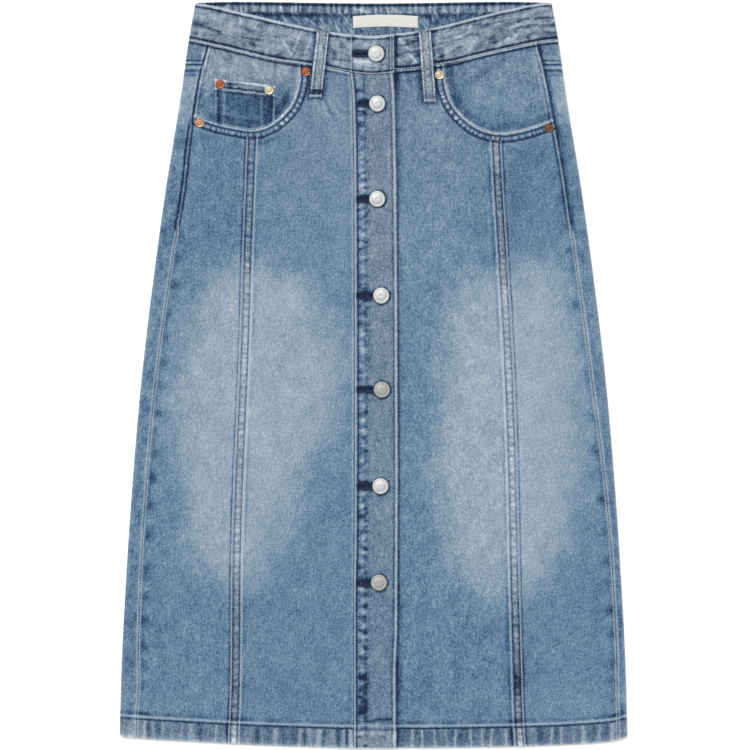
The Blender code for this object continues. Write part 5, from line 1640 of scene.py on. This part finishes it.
def coin_paint(x, drop):
    """Pale hem along its mouth, dark body, darker strips between the double side rows."""
    mouth = coin_mouth(x, drop) + 0.5 * noise(x / 7, 0, 87)
    left, right, edge = x + 166.4, -103.4 - x, pocket_gap(LEFT, x, drop)[0]
    body = eased(mouth, 9.5, 11.5)
    value = mix(0.60, 0.29, body) + clouds(x, drop, (0.04, 7, 12, 85), (0.06, 3, 5, 86))
    value += body * (0.06 * eased(drop, 100, 128) - 0.08 * between(right, 1.8, 12.5))
    value += 0.13 * noise(x / 5, mouth / 3, 88) * (1 - body)
    value += lines(mouth, (1.4, 1.1, 0.34), (3.8, 1.0, -0.20), (8.2, 1.1, -0.54), (10.6, 1.1, 0.34),
                   (13, 1.2, -0.22))
    for gap, second, wide in ((left, 9.6, 1.5), (right, 14.0, 1.1)):
        value += lines(gap, (1.0, 0.9, 0.36 + 0.12 * roping(drop, 4, 89)), (3.8, 1.9, -0.24),
                       (second, wide, 0.20 * body))
    for corner_x, corner_drop in ((-161.6, 84.6), (-108, 90)):
        square = np.maximum(abs(x - corner_x), abs(drop - corner_drop))
        value += 0.22 * stripe(square, 5.4, 1.1)
    # The second term is painted shade beside the front pocket's edge, where that edge overhangs the coin
    # pocket
    value += 0.36 * stripe(edge, -1.2, 1.0) - 0.12 * between(edge, -9, -3, 3) * eased(-x, 104, 114)
    return value - 0.34 * spot(x, drop, -149.6, 86.5, 3.6, 4), 0.35 * (1 - body) + 0.05


def make_coin_pocket():
    """Small pocket on the left facing, its mouth sloped, its foot under the front panels."""
    def top(x, drop):
        mouth = coin_mouth(x, drop)
        return coin_level(x, drop) - 0.2 * stripe(mouth, 8.6, 1.0) + 0.25 * between(mouth, 1, 7.5)

    ring = polygon(COIN_POCKET)
    mouth, right, left = COIN_POCKET[:3], COIN_POCKET[2:4], COIN_POCKET[4:] + COIN_POCKET[:1]
    rows = kept_apart([
        rows_beside(mouth, (0.8, 1.6, 2.6, 3.6, 5, 6.6, 7.6, 8.4, 9.4, 10.6, 11.6, 13)),
        rows_beside(right, (0.8, 1.4, 2.4, 3.6, 8.8, 9.6, 10.4)),
        rows_beside(left, (0.8, 1.4, 2.4, 3.6, 5.6, 6.4, 7.2))], 0.6)
    cloth_wall("coin_pocket", [ring], (with_net(rows, ring, 1.4), top, coin_paint, 0.5),
               (net(ring, 9.0), lambda x, drop: coin_level(x, drop) - CLOTH, inner_paint, 4.0),
               "denim_pocket")


# Belt loops and label

def loop_base(side, x, drop):
    return loop_level(side, drop) + LAYER_GAP


def make_belt_loop(side):
    """A strip down over the waistband, its lower end turned under on the panel."""
    (x0, drop0), (x1, drop1) = BELT_LOOPS[side]
    half = LOOP_WIDTH / 2

    def off_middle(x, drop, shift=0.0):
        return abs(x - loop_middle(side, drop) - shift)

    def top(x, drop):
        gap, foot = off_middle(x, drop), drop1 - drop
        rise = 0.12 - 0.28 * stripe(gap, half - 2.2, 0.8) - 0.25 * eased(gap, half - 1.2, half)
        rise += lines(foot, (4.0, 2.4, 0.3), (1.0, 1.2, -0.3)) + 0.1 * noise(x / 4, drop / 5, 90)
        return loop_base(side, x, drop) + LOOP_CLOTH + rise

    def paint(x, drop):
        gap, foot = off_middle(x, drop, 0.6 if side == LEFT else -0.1), drop1 - drop
        value = (0.65 if side == LEFT else 0.62) + 0.08 * (1 - eased(drop, 56, 66))
        # The last term is painted shadow on the loop's outermost millimetre at each side
        value += clouds(x, drop, (0.05, 3, 14, 91 + side), (0.03, 1.6, 4, 92)) - 0.5 * eased(gap, 6.0, 6.8)
        value += lines(gap, (half - 0.9, 1.0, 0.30), (half - 2.9, 0.7, -0.34))
        value += lines(foot, (2.0, 0.9, 0.26), (0, 0.8, -0.3)) - 0.3 * stripe(drop - drop0, 0.3, 1.0)
        value -= (0.60 if side == LEFT else 0.20) * between(foot, 3.8, 8.6, 0.8)
        return value, 0.9 - 0.5 * (foot < 9)

    ring = polygon([(x0 - half, drop0), (x0 + half, drop0), (x1 + half, drop1), (x1 - half, drop1)], 1.2)
    cloth_wall(f"belt_loop_{NAMES[side]}", [ring], (net(ring, 1.3), top, paint, 0.5),
               (net(ring, 4.0), partial(loop_base, side), inner_paint, 1.6))


def make_label():
    """A bare woven label on the inside of the back waistband."""
    (x0, x1), (drop0, drop1), rise = LABEL
    middle, half, base = (x0 + x1) / 2, (x1 - x0) / 2, DOUBLE_CLOTH + LAYER_GAP

    def arch(x):
        return rise * (1 - ((x - middle) / half) ** 2)

    def top(x, drop):
        edge = np.minimum(half - abs(x - middle), drop - drop0 + arch(x))
        return base + LABEL_CLOTH + 0.25 * eased(edge, 0, 3) - 0.2 * stripe(edge, 1.6, 0.6)

    ring = ring_of(across(lambda x: drop0 - arch(x), x0, x1), [(x1, drop0), (x1, drop1)],
                   across(lambda x: drop1 - arch(x), x1, x0), [(x0, drop1), (x0, drop0)], step=1.4)
    cloth_wall("waist_label", [ring], (net(ring, 1.4), top, lambda x, drop: (0.9, 1.0), 0.5),
               (net(ring, 8.0), lambda x, drop: base + 0 * x, inner_paint, 3.0),
               "label_cloth")


# Stitching

def stitch_tree():
    """Threads laid along paths, or across them when turned."""
    tree = bpy.data.node_groups.new("stitches_on_path", "GeometryNodeTree")
    tree.interface.new_socket("Path", in_out="INPUT", socket_type="NodeSocketGeometry")
    for name, kind, value in (("Pitch", "Float", 0.0031), ("Length", "Float", 0.0031),
                              ("Thickness", "Float", 0.00095), ("Turn", "Float", 0.0),
                              ("Wobble", "Float", 0.07), ("Seed", "Int", 4)):
        socket = tree.interface.new_socket(name, in_out="INPUT", socket_type=f"NodeSocket{kind}")
        socket.default_value = value
    tree.interface.new_socket("Thread", in_out="INPUT", socket_type="NodeSocketMaterial")
    tree.interface.new_socket("Stitches", in_out="OUTPUT", socket_type="NodeSocketGeometry")
    given = add_node(tree, "NodeGroupInput").outputs
    line = add_node(tree, "GeometryNodeMeshToCurve", {}, {"Mesh": given["Path"]})
    spaced = add_node(tree, "GeometryNodeResampleCurve", {"mode": "LENGTH"},
                      {"Curve": line, "Length": given["Pitch"]})
    bead = add_node(tree, "GeometryNodeMeshUVSphere", {"Segments": 6, "Rings": 5, "Radius": 0.5})
    size = add_node(tree, "ShaderNodeCombineXYZ", {}, {
        "X": given["Length"], "Y": given["Thickness"], "Z": given["Thickness"]})
    thread = add_node(tree, "GeometryNodeTransform", {}, {"Geometry": bead, "Scale": size})
    along = add_node(tree, "FunctionNodeAlignRotationToVector", {"axis": "X"},
                     {"Vector": add_node(tree, "GeometryNodeInputTangent")})
    low, high = (add_node(tree, "ShaderNodeMath", {"operation": way}, {
        0: given["Turn"], 1: given["Wobble"]}) for way in ("SUBTRACT", "ADD"))
    angle = add_node(tree, "FunctionNodeRandomValue", {"data_type": "FLOAT"},
                     {2: low, 3: high, "Seed": given["Seed"]})
    spin = add_node(tree, "FunctionNodeAxisAngleToRotation", {"Axis": (0, 0, 1)},
                    {"Angle": angle.outputs[1]})
    laid_way = add_node(tree, "FunctionNodeRotateRotation", {"rotation_space": "LOCAL"},
                        {"Rotation": along, "Rotate By": spin})
    laid = add_node(tree, "GeometryNodeInstanceOnPoints", {}, {
        "Points": spaced, "Instance": thread, "Rotation": laid_way})
    real = add_node(tree, "GeometryNodeRealizeInstances", {}, {"Geometry": laid})
    smooth = add_node(tree, "GeometryNodeSetShadeSmooth", {}, {"Geometry": real})
    dyed = add_node(tree, "GeometryNodeSetMaterial", {}, {"Geometry": smooth, "Material": given["Thread"]})
    add_node(tree, "NodeGroupOutput", {}, {"Stitches": dyed})
    return tree


STITCHES = stitch_tree()


def sew(name, paths, thread, **sizes):
    """Stitches along paths, each a line of places with heights, as one piece."""
    vertices, edges = [], []
    for path in paths:
        start = len(vertices)
        vertices += [(x * MM, (LENGTH / 2 - drop) * MM, z * MM) for x, drop, z in path]
        edges += [(start + i, start + i + 1) for i in range(len(path) - 1)]
    mesh = bpy.data.meshes.new(f"{name}_paths")
    mesh.from_pydata(vertices, edges, [])
    source = add_object(f"{name}_paths", mesh)
    modifier = source.modifiers.new("Stitches", "NODES")
    modifier.node_group = STITCHES
    inputs = {item.name: item.identifier for item in STITCHES.interface.items_tree
              if item.item_type == "SOCKET" and item.in_out == "INPUT"}
    for label, value in {"Thread": thread, **sizes}.items():
        modifier[inputs[label]] = value
    bpy.context.view_layer.update()
    evaluated = source.evaluated_get(bpy.context.evaluated_depsgraph_get())
    made = bpy.data.meshes.new_from_object(evaluated)
    made.name = name
    bpy.data.objects.remove(source, do_unlink=True)
    if thread.name not in [look.name for look in made.materials if look]:
        made.materials.append(thread)
    add_piece(name, made)


def on(skin, line, lift=0.12):
    """A line of places with the heights of a skin."""
    line = evenly(line, 2.0)
    return np.column_stack([line, skin(*line.T) + lift])


def front_rows():
    """Rows down the felled and side seams and along the hem."""
    paths = []
    for side in (LEFT, RIGHT):
        skin = partial(panel_top, side)
        for offset in FELLED_STITCHES:
            top = pocket_drop(side, side * (felled_seam[side](LAP_TOP) + offset)) + 9
            paths.append(on(skin, down(lambda drop: side * (felled_seam[side](drop) + offset), top, 775)))
        start = placket_left(760.0) - 1 if side == LEFT else placket_right(760.0) + 1
        paths.append(on(skin, across(hem_drop, start, side_seam(side, 770.0), -HEM_DEPTH - 2.0)))
        for offset in SIDE_STITCHES:
            paths.append(on(partial(front_level, side),
                            down(lambda drop: side_seam(side, drop) + side * offset, HIP_TACK + 2, 770)))
    return paths


def pocket_rows():
    """Twin rows in tonal thread, sunk in their grooves."""
    paths = []
    for side in (LEFT, RIGHT):
        line = evenly(pocket_edge[side], 2.0)
        swing = (side == LEFT) * pocket_swing(np.arange(len(line)) * 2.0)
        keep = (line[:, 1] > 78) & (side * (side_seam(side, line[:, 1]) - line[:, 0]) > 4)
        for offset, share in POCKET_STITCHES:
            place = line + side * sideways(line) * (offset + share * swing)[:, None]
            paths.append(on(partial(panel_top, side), place[keep]))
    return paths


def placket_rows():
    return [on(placket_top, line) for line in (
        down(lambda drop: placket_left(drop) + 1.2, 78, 780),
        down(lambda drop: placket_right(drop) - 2.4, 76, 780),
        across(hem_drop, -18.5, 22.5, -HEM_DEPTH - 2.4))]


def band_rows():
    """Rows along the waistband's edges, and down its lapped end and its seam on the placket."""
    paths = []
    for side, end in ((LEFT, WAIST_END - 1.5), (RIGHT, WAIST_END + 2)):
        reach = side * (half_width(20.0) - 7)
        for edge, stretch, shift in ((waist_front_top, 1, 1.0), (waist_front_bottom, 1.02, -0.9)):
            paths.append(on(partial(band_level, side), across(edge[side], end, reach * stretch, shift)))
    for x in (WAIST_END - 1.2, WAIST_END - 3.8, -23.5):
        ends = [(x, waist_front_top[LEFT](x) + 1), (x, waist_front_bottom[LEFT](x) - 1)]
        paths.append(on(partial(band_level, LEFT), ends))
    return paths


def buttonhole_edges():
    """The worked edge of each buttonhole: threads across its rim, close together."""
    paths = []
    for name, x, drop in BUTTONS:
        waist = name == "button_waist"
        start, end = WAIST_SLOT_START if waist else SLOT_START, x - BUTTON_RADIUS + 4
        for height in (2.3, 3.6):
            upper = [(end, -height), (start + 1, -height), (start - 1.2, -height / 2)]
            loop = [(a, drop + b) for a, b in upper] + [(a, drop - b) for a, b in upper[::-1]]
            paths.append(on(partial(band_level, LEFT) if waist else placket_top, rounded(loop), 0.2))
    return paths


def bartacks():
    """Short close bars on the belt loops' feet and across the side seams."""
    bars = []
    for side in (LEFT, RIGHT):
        x, drop = BELT_LOOPS[side][1]
        half = LOOP_WIDTH / 2 - 1
        bars.append(on(partial(loop_base, side), [(x - half, drop - 2), (x + half, drop - 2)],
                       LOOP_CLOTH + 0.32))
        for middle in (YOKE_TACK, HIP_TACK):
            x = side_seam(side, middle) - side * 1.5
            bars.append(on(partial(front_level, side), [(x, middle - 5), (x, middle + 5)]))
    return bars


# Metal

def turned(node, profile, x, drop, height, look, segments):
    """A round piece: a profile of radius and height, spun about its own axis."""
    shape = bmesh.new()
    corners = [shape.verts.new((radius, 0, z)) for radius, z in profile]
    edges = [shape.edges.new(pair) for pair in zip(corners, corners[1:])]
    bmesh.ops.spin(shape, geom=corners + edges, cent=(0, 0, 0), axis=(0, 0, 1),
                   angle=math.tau, steps=segments, use_merge=True)
    bmesh.ops.remove_doubles(shape, verts=shape.verts, dist=1e-4)
    bmesh.ops.recalc_face_normals(shape, faces=shape.faces)
    for corner in shape.verts:
        corner.co = (corner.co + Vector((x, LENGTH / 2 - drop, height))) * MM
    mesh = bpy.data.meshes.new(f"metal_{node}")
    shape.to_mesh(mesh)
    shape.free()
    mesh.materials.append(METALS[look])
    mesh.shade_smooth()
    mesh.set_sharp_from_angle(angle=math.radians(42))
    add_piece(f"metal_{node}", mesh, node)


def shaped(rim, rows):
    """A profile from rows of inset from the rim and height above the cloth."""
    return [(rim - inset, LAYER_GAP + height) for inset, height in rows]


def make_button(name, x, drop):
    """A shank button: its post goes through the slot to the stand, its cap lies on the band."""
    steps = (-BUTTON_RADIUS, 0, BUTTON_RADIUS)
    if name == "button_waist":
        cloth = max(waist_level(LEFT, x + dx, drop) for dx in steps)
        stand = waist_level(RIGHT, x, drop)
    else:
        cloth = max(placket_level(x + dx, drop + dy) for dx in steps for dy in steps)
        stand = max(right_level(x, drop + dy) for dy in (-1, 0, 1))
    foot, middle = stand + LAYER_GAP - cloth, BUTTON_RADIUS
    profile = [(0.0, foot), (POST_RADIUS, foot), (POST_RADIUS, LAYER_GAP)] + shaped(BUTTON_RADIUS, (
        (1.0, 0), (0.35, 0.15), (0.05, 0.5), (0, 0.85), (0.12, 1.25), (0.45, 1.6), (0.95, 1.85),
        (1.5, 1.92), (1.9, 1.86), (2.15, 1.74), (2.5, 1.8), (3.4, 2.12), (4.6, 2.4), (5.9, 2.58),
        (middle - 1.5, 2.66), (middle - 1.2, 2.62), (middle - 0.9, 2.5), (middle, 2.46)))
    look = "dull nickel" if name in ("button_4", "button_6") else "nickel"
    turned(name, profile, x, drop, cloth, look, 56)


def make_rivet(name, x, drop, look):
    """A flat-headed rivet with a rolled rim and a raised middle."""
    around = [(x + RIVET_RADIUS * math.cos(a), drop + RIVET_RADIUS * math.sin(a))
              for a in (math.tau * i / 8 for i in range(8))]
    level = coin_level if name.startswith("rivet_coin") else partial(front_level, LEFT if x < 0 else RIGHT)
    profile = shaped(RIVET_RADIUS, (
        (RIVET_RADIUS, 0), (0.35, 0), (0.08, 0.12), (0, 0.4), (0.12, 0.7), (0.5, 0.92), (1.0, 0.9),
        (1.35, 0.72), (2.5, 0.7), (2.8, 0.86), (2.95, 1.15), (3.3, 1.32), (3.8, 1.35), (4.2, 1.2),
        (RIVET_RADIUS, 1.12)))
    turned(name, profile, x, drop, max(level(*place) for place in around), look, 40)


# Everything

for side in (LEFT, RIGHT):
    make_back(side)
    make_yoke(side)
    make_front_centre(side)
    make_front_side(side)
    make_pocket_facing(side)
    make_belt_loop(side)
make_waistband()
make_placket()
make_coin_pocket()
make_label()
for button in BUTTONS:
    make_button(*button)
for rivet in RIVETS:
    make_rivet(*rivet)

sew("stitches_front", front_rows(), PALE_THREAD)
sew("stitches_pockets", pocket_rows(), BLUE_THREAD, Thickness=0.0007)
sew("stitches_placket", placket_rows(), PALE_THREAD)
sew("stitches_waistband", band_rows(), PALE_THREAD)
sew("stitches_buttonholes", buttonhole_edges(), NAVY_THREAD, Pitch=0.0008, Length=0.0019,
    Thickness=0.0007, Turn=math.pi / 2, Wobble=0.12)
sew("bartacks", bartacks(), PALE_THREAD, Pitch=0.0008, Length=0.0022, Thickness=0.0007,
    Turn=math.pi / 2, Wobble=0.1)


# Floor, light and camera

floor_mesh = bpy.data.meshes.new("floor")
floor_mesh.from_pydata([(-6, -6, 0), (6, -6, 0), (6, 6, 0), (-6, 6, 0)], [], [[0, 1, 2, 3]])
floor_mesh.materials.append(matt_paper())
floor = add_object("floor", floor_mesh)
floor.location.z = -0.2 * MM  # so that floor and cloth don't share a plane

world = bpy.data.worlds.new("studio")
world.use_nodes = True
backdrop = world.node_tree.nodes["Background"].inputs
backdrop["Color"].default_value = (0.99, 0.995, 1.0, 1.0)
backdrop["Strength"].default_value = 0.85
bpy.context.scene.world = world

key = add_object("key", bpy.data.lights.new("key", "SUN"))
key.data.energy = 2.0
key.data.angle = math.radians(30)
key.rotation_euler = Vector((0.24, -0.46, -0.85)).to_track_quat("-Z", "Y").to_euler()

CAMERA_HEIGHT = 4.0
VIEW_SIZE = 0.7875  # metres of floor across the view
camera = add_object("camera", bpy.data.cameras.new("camera"))
camera.location = (1.6 * MM, -0.5 * MM, CAMERA_HEIGHT)
camera.data.sensor_width = 36
camera.data.lens = camera.data.sensor_width * CAMERA_HEIGHT / VIEW_SIZE
camera.data.clip_end = 50
bpy.context.scene.camera = camera
bpy.context.scene.view_settings.view_transform = "Standard"
